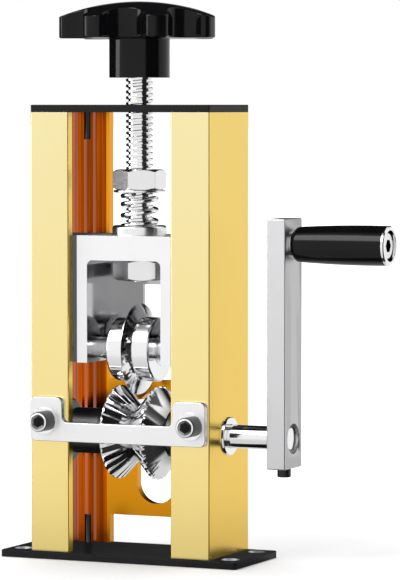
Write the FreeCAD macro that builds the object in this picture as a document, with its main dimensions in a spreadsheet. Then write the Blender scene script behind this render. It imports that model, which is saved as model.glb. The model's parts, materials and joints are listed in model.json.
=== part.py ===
# Hand crank wire stripper, in millimetres.
# A gold extruded column frame stands on a black base plate. A knob on a threaded screw lowers a
# sprung carriage, whose round blade dips into the groove of a serrated feed roller. The crank
# turns the roller, which pulls the wire over the front bar and out through the slot behind.
# X points to the crank, -Y to the user, +Z up. The origin is the centre of the base plate's
# mounting holes, on its underside.
import FreeCAD
import Part
import Sketcher
import math
import os
import re

DOC = FreeCAD.newDocument("WireStripper")
SHEET = DOC.addObject("Spreadsheet::Sheet", "Sizes")

SIZES = {
    "base_side": (16.0, "base plate beyond the column frame at each side"),
    "base_depth": (54.0, "base plate along Y"),
    "base_thick": (3.5, "base plate thickness"),
    "base_corner": (2.0, "radius of the base plate's corners"),
    "base_lip": (3.5, "base plate in front of the body"),
    "mount_inset": (7.75, "mounting hole centres from the base plate's ends"),
    "mount_spacing_y": (34.0, "mounting holes apart along Y"),
    "mount_hole": (5.5, "mounting hole diameter"),
    "mount_sink": (9.5, "mounting hole countersink diameter"),
    "body_width": (100.0, "column frame along X"),
    "body_depth": (50.0, "column frame along Y"),
    "body_height": (224.7, "column frame height"),
    "wall": (5.0, "column frame wall"),
    "body_edge": (0.8, "radius of the column frame's long edges"),
    "flange_width": (21.4, "front flange along X"),
    "stile_width": (23.2, "back wall beside its windows along X"),
    "panel_low": (15.0, "lower edge of the back panel above the base plate"),
    "panel_high": (86.0, "upper edge of the back panel above the base plate"),
    "slot_width": (22.0, "wire slot in the back panel"),
    "slot_low": (32.5, "lower end centre of the wire slot above the base plate"),
    "slot_high": (69.0, "upper end centre of the wire slot above the base plate"),
    "relief_width": (31.0, "clearance for the roller in the back panel along X"),
    "relief_height": (30.0, "clearance for the roller in the back panel along Z"),
    "port_side": (12.2, "screw port centre from the column frame's side face"),
    "port_inset": (7.0, "screw port centre behind the outer face"),
    "port_gap": (3.7, "screw port slot"),
    "port_rib": (1.4, "screw port rib thickness"),
    "port_reach": (3.5, "screw port rib height from the wall"),
    "top_thick": (3.8, "top plate thickness"),
    "plate_edge": (1.0, "radius of the top plate's corners"),
    "plate_screw": (3.6, "plate screw core in the port"),
    "plate_screw_head": (8.0, "plate screw head diameter"),
    "plate_screw_sink": (2.3, "plate screw head height"),
    "plate_screw_length": (18.0, "plate screw length"),
    "plate_screw_key": (2.5, "plate screw socket across flats"),
    "bar_thick": (3.0, "front guide bar thickness"),
    "bar_low": (57.0, "front guide bar lower edge above the base plate"),
    "bar_width": (9.8, "front guide bar width between its tabs"),
    "tab_height": (22.5, "front guide bar tab height"),
    "tab_width": (18.0, "front guide bar tab width"),
    "tab_inset": (1.0, "front guide bar ends inside the column frame's sides"),
    "tab_corner": (3.2, "radius of the tab corners"),
    "bar_screw_side": (9.0, "front bar screws from the column frame's side faces"),
    "bar_screw_rise": (10.2, "front bar screws above the bar's lower edge"),
    "bar_screw": (6.0, "front bar screw diameter"),
    "bar_screw_head": (10.2, "front bar screw head diameter"),
    "bar_screw_tall": (6.0, "front bar screw head height"),
    "bar_screw_key": (5.0, "front bar screw socket across flats"),
    "bar_washer": (14.0, "front bar washer diameter"),
    "bar_washer_thick": (1.0, "front bar washer thickness"),
    "screw_diameter": (14.0, "lead screw outside diameter"),
    "screw_tail": (0.5, "lead screw end below the lower nut"),
    "bush_wall": (3.0, "wall of the threaded bush in the top plate"),
    "knob_diameter": (82.0, "star knob over its lobes"),
    "knob_gap": (13.8, "knob hub above the top plate"),
    "hub_diameter": (31.0, "knob hub diameter"),
    "hub_height": (20.0, "knob hub height"),
    "knob_rim": (10.9, "knob lobe height at the rim"),
    "knob_dome": (7.9, "rise of the knob's domed top"),
    "knob_lobes": (7, "lobes on the knob"),
    "scallop": (22.0, "diameter of the hollows between the lobes"),
    "scallop_reach": (39.0, "hollow centres from the knob's axis"),
    "lobe_round": (4.0, "radius of the lobe corners"),
    "knob_soften": (0.9, "radius of the knob's rim edges"),
    "insert_diameter": (19.0, "brass insert diameter"),
    "insert_length": (17.0, "brass insert length"),
    "insert_floor": (2.0, "brass insert above the screw's end"),
    "nut_flats": (24.0, "hexagon nuts across flats"),
    "nut_height": (10.5, "hexagon nut height"),
    "nut_crown": (23.2, "diameter at which the nut corners are turned off"),
    "washer_diameter": (26.5, "flat washer on the spring"),
    "washer_thick": (1.3, "flat washer thickness"),
    "spring_outer": (20.0, "spring outside diameter"),
    "spring_height": (20.0, "height between the spring's seats"),
    "spring_wire": (2.4, "spring wire diameter"),
    "spring_pitch": (5.9, "spring pitch between its end turns"),
    "end_pitch": (3.1, "pitch of the spring's end turns"),
    "end_turns": (0.75, "turns at each end of the spring"),
    "cup_diameter": (28.0, "spring cup diameter"),
    "cup_height": (5.0, "spring cup height"),
    "cup_floor": (1.7, "spring cup floor thickness"),
    "cup_round": (1.6, "radius of the spring cup's upper edge"),
    "carriage_height": (65.0, "carriage from leg ends to top"),
    "carriage_band": (12.6, "carriage top band"),
    "carriage_face": (52.6, "carriage front and back faces along X"),
    "window_width": (41.2, "carriage window along X"),
    "window_corner": (2.8, "radius of the carriage window's corners"),
    "web": (2.5, "carriage back web thickness"),
    "web_slot": (12.0, "slot in the carriage back web"),
    "web_top": (26.3, "slot end below the carriage top"),
    "axle_rise": (6.5, "blade axle above the leg ends"),
    "axle_diameter": (8.0, "blade axle diameter"),
    "axle_inset": (1.0, "blade axle end inside the carriage side"),
    "blade_dip": (4.3, "depth of the blade's edge in the roller's groove"),
    "blade_diameter": (46.6, "blade over its cutting edge"),
    "blade_thick": (6.0, "blade thickness at the drum"),
    "blade_land": (0.3, "flat on the cutting edge"),
    "drum_diameter": (33.0, "blade drum diameter"),
    "drum_length": (24.0, "blade drum length"),
    "drum_round": (1.5, "radius of the drum's outer edges"),
    "bearing_diameter": (16.0, "blade bearing outside diameter"),
    "bearing_width": (5.0, "blade bearing width"),
    "spacer_diameter": (11.0, "axle spacer diameter"),
    "grub_diameter": (5.0, "axle grub screw diameter"),
    "grub_length": (8.0, "axle grub screw length"),
    "grub_key": (2.5, "axle grub screw socket across flats"),
    "shaft_height": (60.5, "crank shaft axis above the base plate"),
    "shaft_diameter": (12.0, "crank shaft diameter"),
    "roller_diameter": (48.0, "feed roller over its rims"),
    "roller_waist": (26.0, "feed roller at the bottom of its groove"),
    "rim_spacing": (22.0, "feed roller rims apart"),
    "rim_land": (0.8, "width of a roller rim"),
    "roller_hub": (25.0, "feed roller hub diameter"),
    "roller_length": (38.0, "feed roller length"),
    "teeth": (28, "serrations on each roller flank"),
    "tooth_depth": (2.3, "serration depth at the rim"),
    "tooth_start": (0.3, "serration depth at the waist"),
    "key_width": (4.0, "roller key width and height"),
    "key_length": (24.0, "roller key length"),
    "key_sink": (2.5, "roller key depth in the shaft"),
    "housing_diameter": (33.0, "bearing housing diameter"),
    "housing_thick": (6.4, "bearing housing thickness"),
    "housing_edge": (1.2, "chamfer of the bearing housing"),
    "housing_screws": (3, "screws in a bearing housing"),
    "housing_circle": (24.6, "circle of the housing screws"),
    "housing_screw": (3.0, "housing screw diameter"),
    "housing_screw_head": (5.5, "housing screw head diameter"),
    "housing_screw_tall": (1.8, "housing screw head height"),
    "housing_screw_bite": (3.6, "housing screw depth in the wall"),
    "housing_screw_key": (2.0, "housing screw socket across flats"),
    "sleeve_diameter": (23.5, "shaft sleeve diameter"),
    "bush_diameter": (16.0, "wall bush diameter"),
    "bush_flange": (19.5, "wall bush flange diameter"),
    "bush_proud": (1.3, "wall bush flange thickness"),
    "clip_diameter": (18.0, "shaft clip diameter"),
    "clip_thick": (1.2, "shaft clip thickness"),
    "clip_groove": (1.0, "shaft clip groove depth"),
    "shaft_stub": (1.5, "shaft beyond the clip"),
    "arm_gap": (25.3, "crank arm from the column frame"),
    "arm_thick": (10.0, "crank arm thickness"),
    "arm_width": (22.5, "crank arm width"),
    "arm_foot": (15.0, "crank arm end below the shaft"),
    "arm_head": (13.0, "crank arm end above the handle"),
    "arm_edge": (0.7, "radius of the crank arm's edges"),
    "crank_throw": (98.0, "handle axis above the shaft axis"),
    "arm_recess": (15.4, "recess round the shaft end"),
    "arm_recess_deep": (2.5, "recess depth"),
    "shaft_proud": (1.0, "shaft end above the recess floor"),
    "clamp_screw": (4.0, "clamp screw diameter"),
    "clamp_head": (7.0, "clamp screw head diameter"),
    "clamp_head_tall": (4.5, "clamp screw head height"),
    "clamp_key": (3.0, "clamp screw socket across flats"),
    "grip_length": (49.3, "handle grip length"),
    "grip_inner": (17.5, "handle grip diameter beside the arm"),
    "grip_outer": (20.0, "handle grip diameter at its end"),
    "grip_shoulder": (3.0, "radius of the grip's inner shoulder"),
    "grip_swell": (600.0, "radius of the grip's side"),
    "grip_counterbore": (15.6, "recess for the handle bolt's head"),
    "grip_recess": (7.2, "depth of the bolt head's recess"),
    "ring_length": (1.6, "handle end ring length"),
    "ring_edge": (0.5, "chamfer of the handle end ring"),
    "bolt_thread": (8.0, "handle bolt thread diameter"),
    "bolt_shoulder": (10.0, "handle bolt shoulder diameter"),
    "bolt_head": (13.4, "handle bolt head diameter"),
    "bolt_head_tall": (7.6, "handle bolt head height"),
    "bolt_key": (6.0, "handle bolt socket across flats"),
    "bolt_key_deep": (4.0, "handle bolt socket depth"),
    "handle_washer": (1.0, "thickness of the washer between arm and grip"),
    "handle_washer_wide": (14.0, "diameter of the washer between arm and grip"),
    "small_chamfer": (0.6, "chamfer on screw heads and shaft ends"),
    "running_gap": (0.05, "radial gap of a running fit"),
    "seat_gap": (0.02, "radial gap of a fixed fit"),
    "rest_gap": (0.1, "gap between faces that bear on each other"),
    "guide_gap": (0.45, "gap round the sliding carriage"),
    "free_gap": (0.5, "radial gap round a part that passes freely"),
}

for row, (name, (value, meaning)) in enumerate(SIZES.items(), start=1):
    SHEET.set("A%d" % row, meaning)
    SHEET.set("B%d" % row, str(value))
    SHEET.setAlias("B%d" % row, name)
DOC.recompute()

WORD = re.compile(r"[a-z][a-z_]*")
ALONG_X = FreeCAD.Rotation(FreeCAD.Vector(0, 1, 0), 90)
ALONG_MINUS_X = FreeCAD.Rotation(FreeCAD.Vector(0, 1, 0), -90)
TOWARDS_USER = FreeCAD.Rotation(FreeCAD.Vector(1, 0, 0), 90)
DOWNWARDS = FreeCAD.Rotation(FreeCAD.Vector(1, 0, 0), 180)
NODES = []


def formula(text):
    """The formula with every size name read from the sheet."""
    return WORD.sub(lambda found: ("Sizes." if found.group() in SIZES else "") + found.group(), text)


def number(text):
    """What a formula comes to now."""
    return float(SHEET.evalExpression(formula(text)))


def bind(feature, place, text):
    feature.setExpression(place, formula(text))


def new_body(label, x="0", y="0", z="0", turn=None):
    """An empty sub-part with its own frame at x, y, z, its axes turned if asked."""
    body = DOC.addObject("PartDesign::Body", label)
    body.Label = label
    if turn:
        body.Placement = FreeCAD.Placement(FreeCAD.Vector(0, 0, 0), turn)
    bind(body, "Placement.Base.x", x)
    bind(body, "Placement.Base.y", y)
    bind(body, "Placement.Base.z", z)
    NODES.append(body)
    return body


def datum(body, role):
    """One of the body's own planes or axes."""
    return next(part for part in body.Origin.OriginFeatures if part.Role == role)


def new_sketch(body, plane, offset="0"):
    """A sketch on one of the body's own planes, moved along the plane's normal."""
    drawing = body.newObject("Sketcher::SketchObject", body.Label + "_sketch")
    drawing.AttachmentSupport = [(datum(body, plane), "")]
    drawing.MapMode = "FlatFace"
    bind(drawing, "AttachmentOffset.Base.z", offset)
    return drawing


def hold(drawing, kind, size, *points):
    """A driving dimension of the sketch, bound to a formula."""
    index = drawing.addConstraint(Sketcher.Constraint(kind, *points, number(size)))
    bind(drawing, "Constraints[%d]" % index, size)


def pin_point(drawing, shape, point, x, y):
    """Fixes a point of the sketch at x, y from its origin."""
    hold(drawing, "DistanceX", x, -1, 1, shape, point)
    hold(drawing, "DistanceY", y, -1, 1, shape, point)


def arc_between(start, end, radius):
    """An arc from start to end, its centre on the left for a positive radius."""
    chord = end - start
    left = FreeCAD.Vector(-chord.y, chord.x, 0).normalize()
    depth = math.sqrt(radius ** 2 - chord.Length ** 2 / 4)
    centre = (start + end) * 0.5 + left * math.copysign(depth, radius)
    circle = Part.Circle(centre, FreeCAD.Vector(0, 0, 1), abs(radius))
    first, last = (start, end) if radius > 0 else (end, start)
    angles = [math.atan2(point.y - centre.y, point.x - centre.x) for point in (first, last)]
    return Part.ArcOfCircle(circle, *angles)


def add_outline(drawing, corners):
    """A closed outline. A corner is x, y and, where an arc leads to the next corner, its radius."""
    spots = [FreeCAD.Vector(number(corner[0]), number(corner[1]), 0) for corner in corners]
    base = drawing.GeometryCount
    ends = []
    for index, corner in enumerate(corners):
        start = spots[index]
        end = spots[(index + 1) % len(corners)]
        if len(corner) == 2:
            drawing.addGeometry(Part.LineSegment(start, end))
            ends.append((1, 2))
            continue
        radius = number(corner[2])
        drawing.addGeometry(arc_between(start, end, radius))
        ends.append((1, 2) if radius > 0 else (2, 1))
    for index, corner in enumerate(corners):
        after = (index + 1) % len(corners)
        joint = (base + index, ends[index][1], base + after, ends[after][0])
        drawing.addConstraint(Sketcher.Constraint("Coincident", *joint))
        pin_point(drawing, base + index, ends[index][0], corner[0], corner[1])
        if len(corner) > 2:
            hold(drawing, "Radius", "abs(%s)" % corner[2], base + index)


def add_rectangle(drawing, low_x, low_y, high_x, high_y):
    add_outline(drawing, [(low_x, low_y), (high_x, low_y), (high_x, high_y), (low_x, high_y)])


def add_circle(drawing, x, y, diameter):
    spot = FreeCAD.Vector(number(x), number(y), 0)
    index = drawing.addGeometry(Part.Circle(spot, FreeCAD.Vector(0, 0, 1), number(diameter) / 2))
    pin_point(drawing, index, 3, x, y)
    hold(drawing, "Diameter", diameter, index)


def add_hexagon(drawing, flats, y="0"):
    """A hexagon centred on the sketch's second axis at y, with two flats along that axis."""
    half = "(%s) / 2" % flats
    low = "%s - (%s) / (2 * sqrt(3))" % (y, flats)
    high = "%s + (%s) / (2 * sqrt(3))" % (y, flats)
    tips = ["%s %s (%s) / sqrt(3)" % (y, sign, flats) for sign in "-+"]
    right = [("0", tips[0]), (half, low), (half, high), ("0", tips[1])]
    add_outline(drawing, right + [("-" + half, high), ("-" + half, low)])


def extrude(body, kind, drawing, length, other_way=False):
    """A pad along the sketch's normal, or a pocket against it, or the other way round."""
    feature = body.newObject("PartDesign::" + kind, body.Label + "_" + kind.lower())
    feature.Profile = drawing
    bind(feature, "Length", length)
    feature.Reversed = other_way
    DOC.recompute()
    return feature


def pad(body, drawing, length, other_way=False):
    return extrude(body, "Pad", drawing, length, other_way)


def pocket(body, drawing, length, other_way=False):
    """A cut, which has to take something away."""
    before = body.Shape.Volume
    feature = extrude(body, "Pocket", drawing, length, other_way)
    if not body.Shape.Volume < before:
        raise RuntimeError(feature.Name + " cuts nothing")
    return feature


def turn_profile(body, corners):
    """A solid turned about the body's Z axis from corners of radius and height."""
    drawing = new_sketch(body, "XZ_Plane")
    add_outline(drawing, corners)
    feature = body.newObject("PartDesign::Revolution", body.Label + "_turned")
    feature.Profile = drawing
    feature.ReferenceAxis = (drawing, ["V_Axis"])
    feature.Angle = 360
    DOC.recompute()
    return feature


def drill(body, drawing, diameter, sink, other_way=False):
    """Countersunk holes right through at the sketch's circles."""
    before = body.Shape.Volume
    feature = body.newObject("PartDesign::Hole", body.Label + "_hole")
    feature.Profile = drawing
    DOC.recompute()
    bind(feature, "Diameter", diameter)
    feature.DrillPoint = "Flat"
    feature.DepthType = "ThroughAll"
    feature.HoleCutType = "Countersink"
    feature.HoleCutCustomValues = True
    bind(feature, "HoleCutDiameter", sink)
    feature.HoleCutCountersinkAngle = 90
    feature.Reversed = other_way
    DOC.recompute()
    if not body.Shape.Volume < before:
        raise RuntimeError(feature.Name + " cuts nothing")
    return feature


def ring_pattern(body, features, count):
    """Equal steps of the features about the body's Z axis."""
    pattern = body.newObject("PartDesign::PolarPattern", body.Label + "_ring")
    pattern.Originals = features
    pattern.Axis = (datum(body, "Z_Axis"), [""])
    pattern.Angle = 360
    bind(pattern, "Occurrences", count)
    body.Tip = pattern
    DOC.recompute()
    return pattern


def repeat(body, features, along_x, along_y=None):
    """A second piece at along_x and, if asked, a second pair at along_y."""
    body.AllowCompound = True
    pattern = body.newObject("PartDesign::LinearPattern", body.Label + "_rows")
    pattern.Originals = features
    pattern.Direction = (datum(body, "X_Axis"), [""])
    pattern.Occurrences = 2
    bind(pattern, "Length", along_x)
    if along_y:
        pattern.Direction2 = (datum(body, "Y_Axis"), [""])
        pattern.Occurrences2 = 2
        bind(pattern, "Length2", along_y)
    body.Tip = pattern
    DOC.recompute()


def straight(axis):
    """Picks straight edges along an axis."""
    def test(edge):
        ends = edge.Vertexes
        reach = abs((ends[-1].Point - ends[0].Point) * axis)
        return reach > 0.01 and math.isclose(edge.Length, reach, abs_tol=0.001)
    return test


def circle_at(height, diameter):
    """Picks full circles about the Z axis at a height, of a diameter."""
    level = number(height)
    radius = number(diameter) / 2

    def test(edge):
        if not math.isclose(edge.Length, 2 * math.pi * radius, abs_tol=0.01):
            return False
        start, end = edge.ParameterRange
        spots = [edge.valueAt(start + (end - start) * part / 3) for part in range(3)]
        return all(abs(math.hypot(spot.x, spot.y) - radius) + abs(spot.z - level) < 0.001 for spot in spots)
    return test


def soften(body, kind, size, test):
    """Rounds or chamfers the edges of the body that pass the test."""
    last = body.Tip
    edges = enumerate(last.Shape.Edges, start=1)
    names = ["Edge%d" % index for index, edge in edges if test(edge)]
    if not names:
        raise RuntimeError(body.Label + " has no such edge")
    feature = body.newObject("PartDesign::" + kind, body.Label + "_" + kind.lower())
    feature.Base = (last, names)
    bind(feature, "Radius" if kind == "Fillet" else "Size", size)
    DOC.recompute()
    return feature


def socket(body, flats, top, depth):
    """A hexagon socket down from the top."""
    drawing = new_sketch(body, "XY_Plane", top)
    add_hexagon(drawing, flats)
    return pocket(body, drawing, depth)


BODY_TOP = "(base_thick + body_height)"
SHAFT_Z = "(base_thick + shaft_height)"
BLADE_Z = "(%s + roller_diameter / 2 + blade_diameter / 2 - blade_dip)" % SHAFT_Z
LEG_Z = "(%s - axle_rise)" % BLADE_Z
CARRIAGE_TOP = "(%s + carriage_height)" % LEG_Z
UPPER_NUT_Z = "(%s + cup_floor + spring_height + washer_thick)" % CARRIAGE_TOP
LOWER_NUT_Z = "(%s - carriage_band - rest_gap - nut_height)" % CARRIAGE_TOP
KNOB_Z = "(base_thick + body_height + top_thick + knob_gap)"
PORT_X = "(body_width / 2 - port_side)"
PORT_Y = "(body_depth / 2 - port_inset)"
IN_X = "(body_width / 2 - wall)"
IN_Y = "(body_depth / 2 - wall)"
CARRIAGE_X = "(%s - guide_gap)" % IN_X
CARRIAGE_Y = "(%s - guide_gap)" % IN_Y
SHOULDER_Y = "(%s - port_reach - guide_gap)" % IN_Y
BAR_SCREW_X = "(body_width / 2 - bar_screw_side)"
SCREW_BORE = "(screw_diameter + 2 * free_gap)"
PORT_HOLE = "(plate_screw + 2 * free_gap)"
PORT_SINK = "(plate_screw_head + 2 * running_gap)"
ARM_X = "(body_width / 2 + arm_gap)"
HANDLE_X = "(body_width / 2 + arm_gap + arm_thick)"
GRUB_X = "((%s + window_width / 2) / 2)" % CARRIAGE_X
DRUM_END = "(drum_length / 2)"
HOUSING_Y = "housing_circle / 2"


def ring_at_level(level):
    """Picks the edges that lie in a level plane."""
    height = number(level)

    def test(edge):
        start, end = edge.ParameterRange
        spots = (start, (start + end) / 2, end)
        return all(abs(edge.valueAt(spot).z - height) < 0.001 for spot in spots)
    return test


def upright_at(x, y):
    """Picks upright straight edges that stand at x and y, on either side of both planes."""
    spot_x = number(x)
    spot_y = number(y)
    upright = straight(FreeCAD.Vector(0, 0, 1))

    def test(edge):
        if not upright(edge):
            return False
        point = edge.Vertexes[0].Point
        return abs(abs(point.x) - spot_x) < 0.001 and abs(abs(point.y) - spot_y) < 0.001
    return test


def cap_screw(body, sizes, length, key_depth):
    """A socket cap screw: its head stands on the body's origin and its shank hangs below."""
    shank, head, tall, key = sizes
    profile = [("0", "-(%s)" % length), ("%s / 2" % shank, "-(%s)" % length)]
    profile += [("%s / 2" % shank, "0"), ("%s / 2" % head, "0"), ("%s / 2" % head, tall), ("0", tall)]
    turned = turn_profile(body, profile)
    rim = soften(body, "Chamfer", "small_chamfer", circle_at(tall, head))
    return [turned, rim, socket(body, key, tall, key_depth)]


def tube(body, inner, outer, length):
    """A plain tube standing on the body's origin, with its inner and outer diameters."""
    inside = "(%s) / 2" % inner
    outside = "(%s) / 2" % outer
    return turn_profile(body, [(inside, "0"), (outside, "0"), (outside, length), (inside, length)])


def port_circles(body, level):
    """Circles over the four screw ports."""
    drawing = new_sketch(body, "XY_Plane", level)
    for x in ("-" + PORT_X, PORT_X):
        for y in ("-" + PORT_Y, PORT_Y):
            add_circle(drawing, x, y, PORT_HOLE)
    return drawing


def make_base_plate():
    body = new_body("base_plate")
    front = "-(body_depth / 2 + base_lip)"
    outline = new_sketch(body, "XY_Plane")
    reach = "(body_width / 2 + base_side)"
    add_rectangle(outline, "-" + reach, front, reach, front + " + base_depth")
    pad(body, outline, "base_thick")
    soften(body, "Fillet", "base_corner", straight(FreeCAD.Vector(0, 0, 1)))
    soften(body, "Chamfer", "small_chamfer / 2", ring_at_level("base_thick"))
    mounting = new_sketch(body, "XY_Plane", "base_thick")
    for x in ("mount_inset - " + reach, reach + " - mount_inset"):
        for y in ("-mount_spacing_y / 2", "mount_spacing_y / 2"):
            add_circle(mounting, x, y, "mount_hole")
    drill(body, mounting, "mount_hole", "mount_sink")
    drill(body, port_circles(body, "0"), PORT_HOLE, PORT_SINK, other_way=True)


def make_top_plate():
    body = new_body("top_plate", z=BODY_TOP)
    outline = new_sketch(body, "XY_Plane")
    add_rectangle(outline, "-body_width / 2", "-body_depth / 2", "body_width / 2", "body_depth / 2")
    pad(body, outline, "top_thick")
    soften(body, "Fillet", "plate_edge", straight(FreeCAD.Vector(0, 0, 1)))
    soften(body, "Chamfer", "small_chamfer / 2", ring_at_level("top_thick"))
    middle = new_sketch(body, "XY_Plane", "top_thick")
    add_circle(middle, "0", "0", "screw_diameter + 2 * (running_gap + bush_wall + seat_gap)")
    pocket(body, middle, "top_thick")
    drill(body, port_circles(body, "top_thick"), PORT_HOLE, PORT_SINK)


def make_screw_bush():
    body = new_body("screw_bush", z=BODY_TOP)
    bore = "(screw_diameter + 2 * running_gap)"
    tube(body, bore, bore + " + 2 * bush_wall", "top_thick")


def make_plate_screws(label, z, turn, start_y):
    """Four countersunk screws, their heads flush with the plate."""
    body = new_body(label, "-" + PORT_X, start_y, z, turn)
    shank = "plate_screw / 2"
    profile = [("0", "-plate_screw_length"), (shank, "-plate_screw_length"), (shank, "-plate_screw_sink")]
    turned = turn_profile(body, profile + [("plate_screw_head / 2", "0"), ("0", "0")])
    key = socket(body, "plate_screw_key", "0", "plate_screw_sink * 2 / 3")
    repeat(body, [turned, key], "2 * " + PORT_X, "2 * " + PORT_Y)


def make_body_frame():
    """A C section, open in front, with windows and a slot milled in its back wall."""
    body = new_body("body_frame", z="base_thick")
    out_x = "body_width / 2"
    out_y = "body_depth / 2"
    gap = "(body_width / 2 - flange_width)"
    section = new_sketch(body, "XY_Plane")
    right = [(gap, "-" + out_y), (out_x, "-" + out_y), (out_x, out_y)]
    left = [("-" + out_x, out_y), ("-" + out_x, "-" + out_y), ("-" + gap, "-" + out_y)]
    inside = [("-" + gap, "-" + IN_Y), ("-" + IN_X, "-" + IN_Y), ("-" + IN_X, IN_Y)]
    inside += [(IN_X, IN_Y), (IN_X, "-" + IN_Y), (gap, "-" + IN_Y)]
    add_outline(section, right + left + inside)
    pad(body, section, "body_height")
    soften(body, "Fillet", "body_edge", upright_at(out_x, out_y))
    soften(body, "Fillet", "body_edge", upright_at(gap, out_y))
    ribs = new_sketch(body, "XY_Plane")
    near = "port_gap / 2"
    far = "(port_gap / 2 + port_rib)"
    for side in ("-" + PORT_X, PORT_X):
        for low, high in ((" - " + far, " - " + near), (" + " + near, " + " + far)):
            add_rectangle(ribs, side + low, IN_Y + " - port_reach", side + high, IN_Y)
            add_rectangle(ribs, side + low, "-" + IN_Y, side + high, "port_reach - " + IN_Y)
    pad(body, ribs, "body_height")
    windows = new_sketch(body, "XZ_Plane")
    stile = "(body_width / 2 - stile_width)"
    add_rectangle(windows, "-" + stile, "panel_high", stile, "body_height")
    add_rectangle(windows, "-" + stile, "0", stile, "panel_low")
    pocket(body, windows, "body_depth")
    slot = new_sketch(body, "XZ_Plane")
    add_rectangle(slot, "-slot_width / 2", "slot_low", "slot_width / 2", "slot_high")
    pocket(body, slot, "body_depth")
    ends = new_sketch(body, "XZ_Plane")
    for level in ("slot_low", "slot_high"):
        add_circle(ends, "0", level, "slot_width")
    pocket(body, ends, "body_depth")
    relief = new_sketch(body, "XZ_Plane")
    low = "shaft_height - relief_height / 2"
    high = "shaft_height + relief_height / 2"
    add_rectangle(relief, "-relief_width / 2", low, "relief_width / 2", high)
    pocket(body, relief, "body_depth")
    cut_shaft_seats(body)
    tapped = new_sketch(body, "XZ_Plane", "body_depth / 2")
    for side in ("-" + BAR_SCREW_X, BAR_SCREW_X):
        add_circle(tapped, side, "bar_low + bar_screw_rise", "bar_screw + 2 * seat_gap")
    pocket(body, tapped, "wall")


def cut_shaft_seats(body):
    """Bores for the wall bushes, seats for the bearing housings and their tapped holes."""
    for side, other_way in (("-", True), ("", False)):
        bore = new_sketch(body, "YZ_Plane", side + "body_width / 2")
        add_circle(bore, "0", "shaft_height", "bush_diameter + 2 * seat_gap")
        pocket(body, bore, "wall", other_way)
        seat = new_sketch(body, "YZ_Plane", side + IN_X)
        add_circle(seat, "0", "shaft_height", "housing_diameter + 2 * free_gap")
        pocket(body, seat, "port_side - wall + port_gap / 2 + port_rib", other_way)
        tapped = new_sketch(body, "YZ_Plane", side + IN_X)
        for step in range(round(number("housing_screws"))):
            angle = "(%d * 360 / housing_screws)" % step
            y = "housing_circle / 2 * cos%s" % angle
            z = "shaft_height + housing_circle / 2 * sin%s" % angle
            add_circle(tapped, y, z, "housing_screw + 2 * seat_gap")
        pocket(body, tapped, "housing_screw_bite + rest_gap", not other_way)


def make_front_bar():
    body = new_body("front_bar", y="-body_depth / 2", z="base_thick + bar_low")
    outline = new_sketch(body, "XZ_Plane")
    outer = "(body_width / 2 - tab_inset)"
    inner = "(%s - tab_width)" % outer
    low = [("-" + outer, "0"), (outer, "0"), (outer, "tab_height"), (inner, "tab_height")]
    high = [(inner, "bar_width"), ("-" + inner, "bar_width"), ("-" + inner, "tab_height")]
    add_outline(outline, low + high + [("-" + outer, "tab_height")])
    pad(body, outline, "bar_thick")
    soften(body, "Fillet", "tab_corner", straight(FreeCAD.Vector(0, 1, 0)))
    holes = new_sketch(body, "XZ_Plane", "bar_thick")
    for side in ("-" + BAR_SCREW_X, BAR_SCREW_X):
        add_circle(holes, side, "bar_screw_rise", "bar_screw + free_gap")
    pocket(body, holes, "bar_thick")
    washers = new_body("front_bar_washers", "-" + BAR_SCREW_X, "-body_depth / 2 - bar_thick",
                       "base_thick + bar_low + bar_screw_rise", TOWARDS_USER)
    ring = tube(washers, "bar_screw + free_gap", "bar_washer", "bar_washer_thick")
    repeat(washers, [ring], "2 * " + BAR_SCREW_X)
    screws = new_body("front_bar_screws", "-" + BAR_SCREW_X, "-body_depth / 2 - bar_thick - bar_washer_thick",
                      "base_thick + bar_low + bar_screw_rise", TOWARDS_USER)
    sizes = ("bar_screw", "bar_screw_head", "bar_screw_tall", "bar_screw_key")
    screw = cap_screw(screws, sizes, "bar_washer_thick + bar_thick + wall", "bar_screw / 2")
    repeat(screws, screw, "2 * " + BAR_SCREW_X)


def make_knob():
    """A domed star knob with a round hub under it and a brass insert in the hub."""
    body = new_body("knob", z=KNOB_Z)
    inside = "(insert_diameter / 2 + seat_gap)"
    crown = "(hub_height + knob_rim + knob_dome)"
    dome = "(knob_diameter ^ 2 / 8 / knob_dome + knob_dome / 2)"
    hub = [(inside, "0"), ("hub_diameter / 2", "0"), ("hub_diameter / 2", "hub_height")]
    rim = [("knob_diameter / 2", "hub_height"), ("knob_diameter / 2", "hub_height + knob_rim", dome)]
    core = [("0", crown), ("0", "insert_length + seat_gap"), (inside, "insert_length + seat_gap")]
    turn_profile(body, hub + rim + core)
    hollow = new_sketch(body, "XY_Plane", "hub_height")
    half_step = "(180 / knob_lobes)"
    add_circle(hollow, "scallop_reach * cos" + half_step, "scallop_reach * sin" + half_step, "scallop")
    cut = pocket(body, hollow, crown, other_way=True)
    ring_pattern(body, [cut], "knob_lobes")
    soften(body, "Fillet", "lobe_round", straight(FreeCAD.Vector(0, 0, 1)))
    rim_middle = number("hub_height + knob_rim / 2")
    soften(body, "Fillet", "knob_soften", lambda edge: edge.BoundBox.ZMin > rim_middle)
    soften(body, "Fillet", "knob_soften", ring_at_level("hub_height"))
    insert = new_body("knob_insert", z=KNOB_Z)
    bore = "(screw_diameter / 2 + seat_gap)"
    outside = "insert_diameter / 2"
    wall = [(bore, "0"), (outside, "0"), (outside, "insert_length"), ("0", "insert_length")]
    floor = "insert_length - insert_floor"
    turn_profile(insert, wall + [("0", floor), (bore, floor)])


def make_lead_screw():
    low = LOWER_NUT_Z + " - screw_tail"
    body = new_body("lead_screw", z=low)
    length = "%s + insert_length - insert_floor - rest_gap - (%s)" % (KNOB_Z, low)
    radius = "screw_diameter / 2"
    turn_profile(body, [("0", "0"), (radius, "0"), (radius, length), ("0", length)])
    soften(body, "Chamfer", "small_chamfer", circle_at("0", "screw_diameter"))


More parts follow.
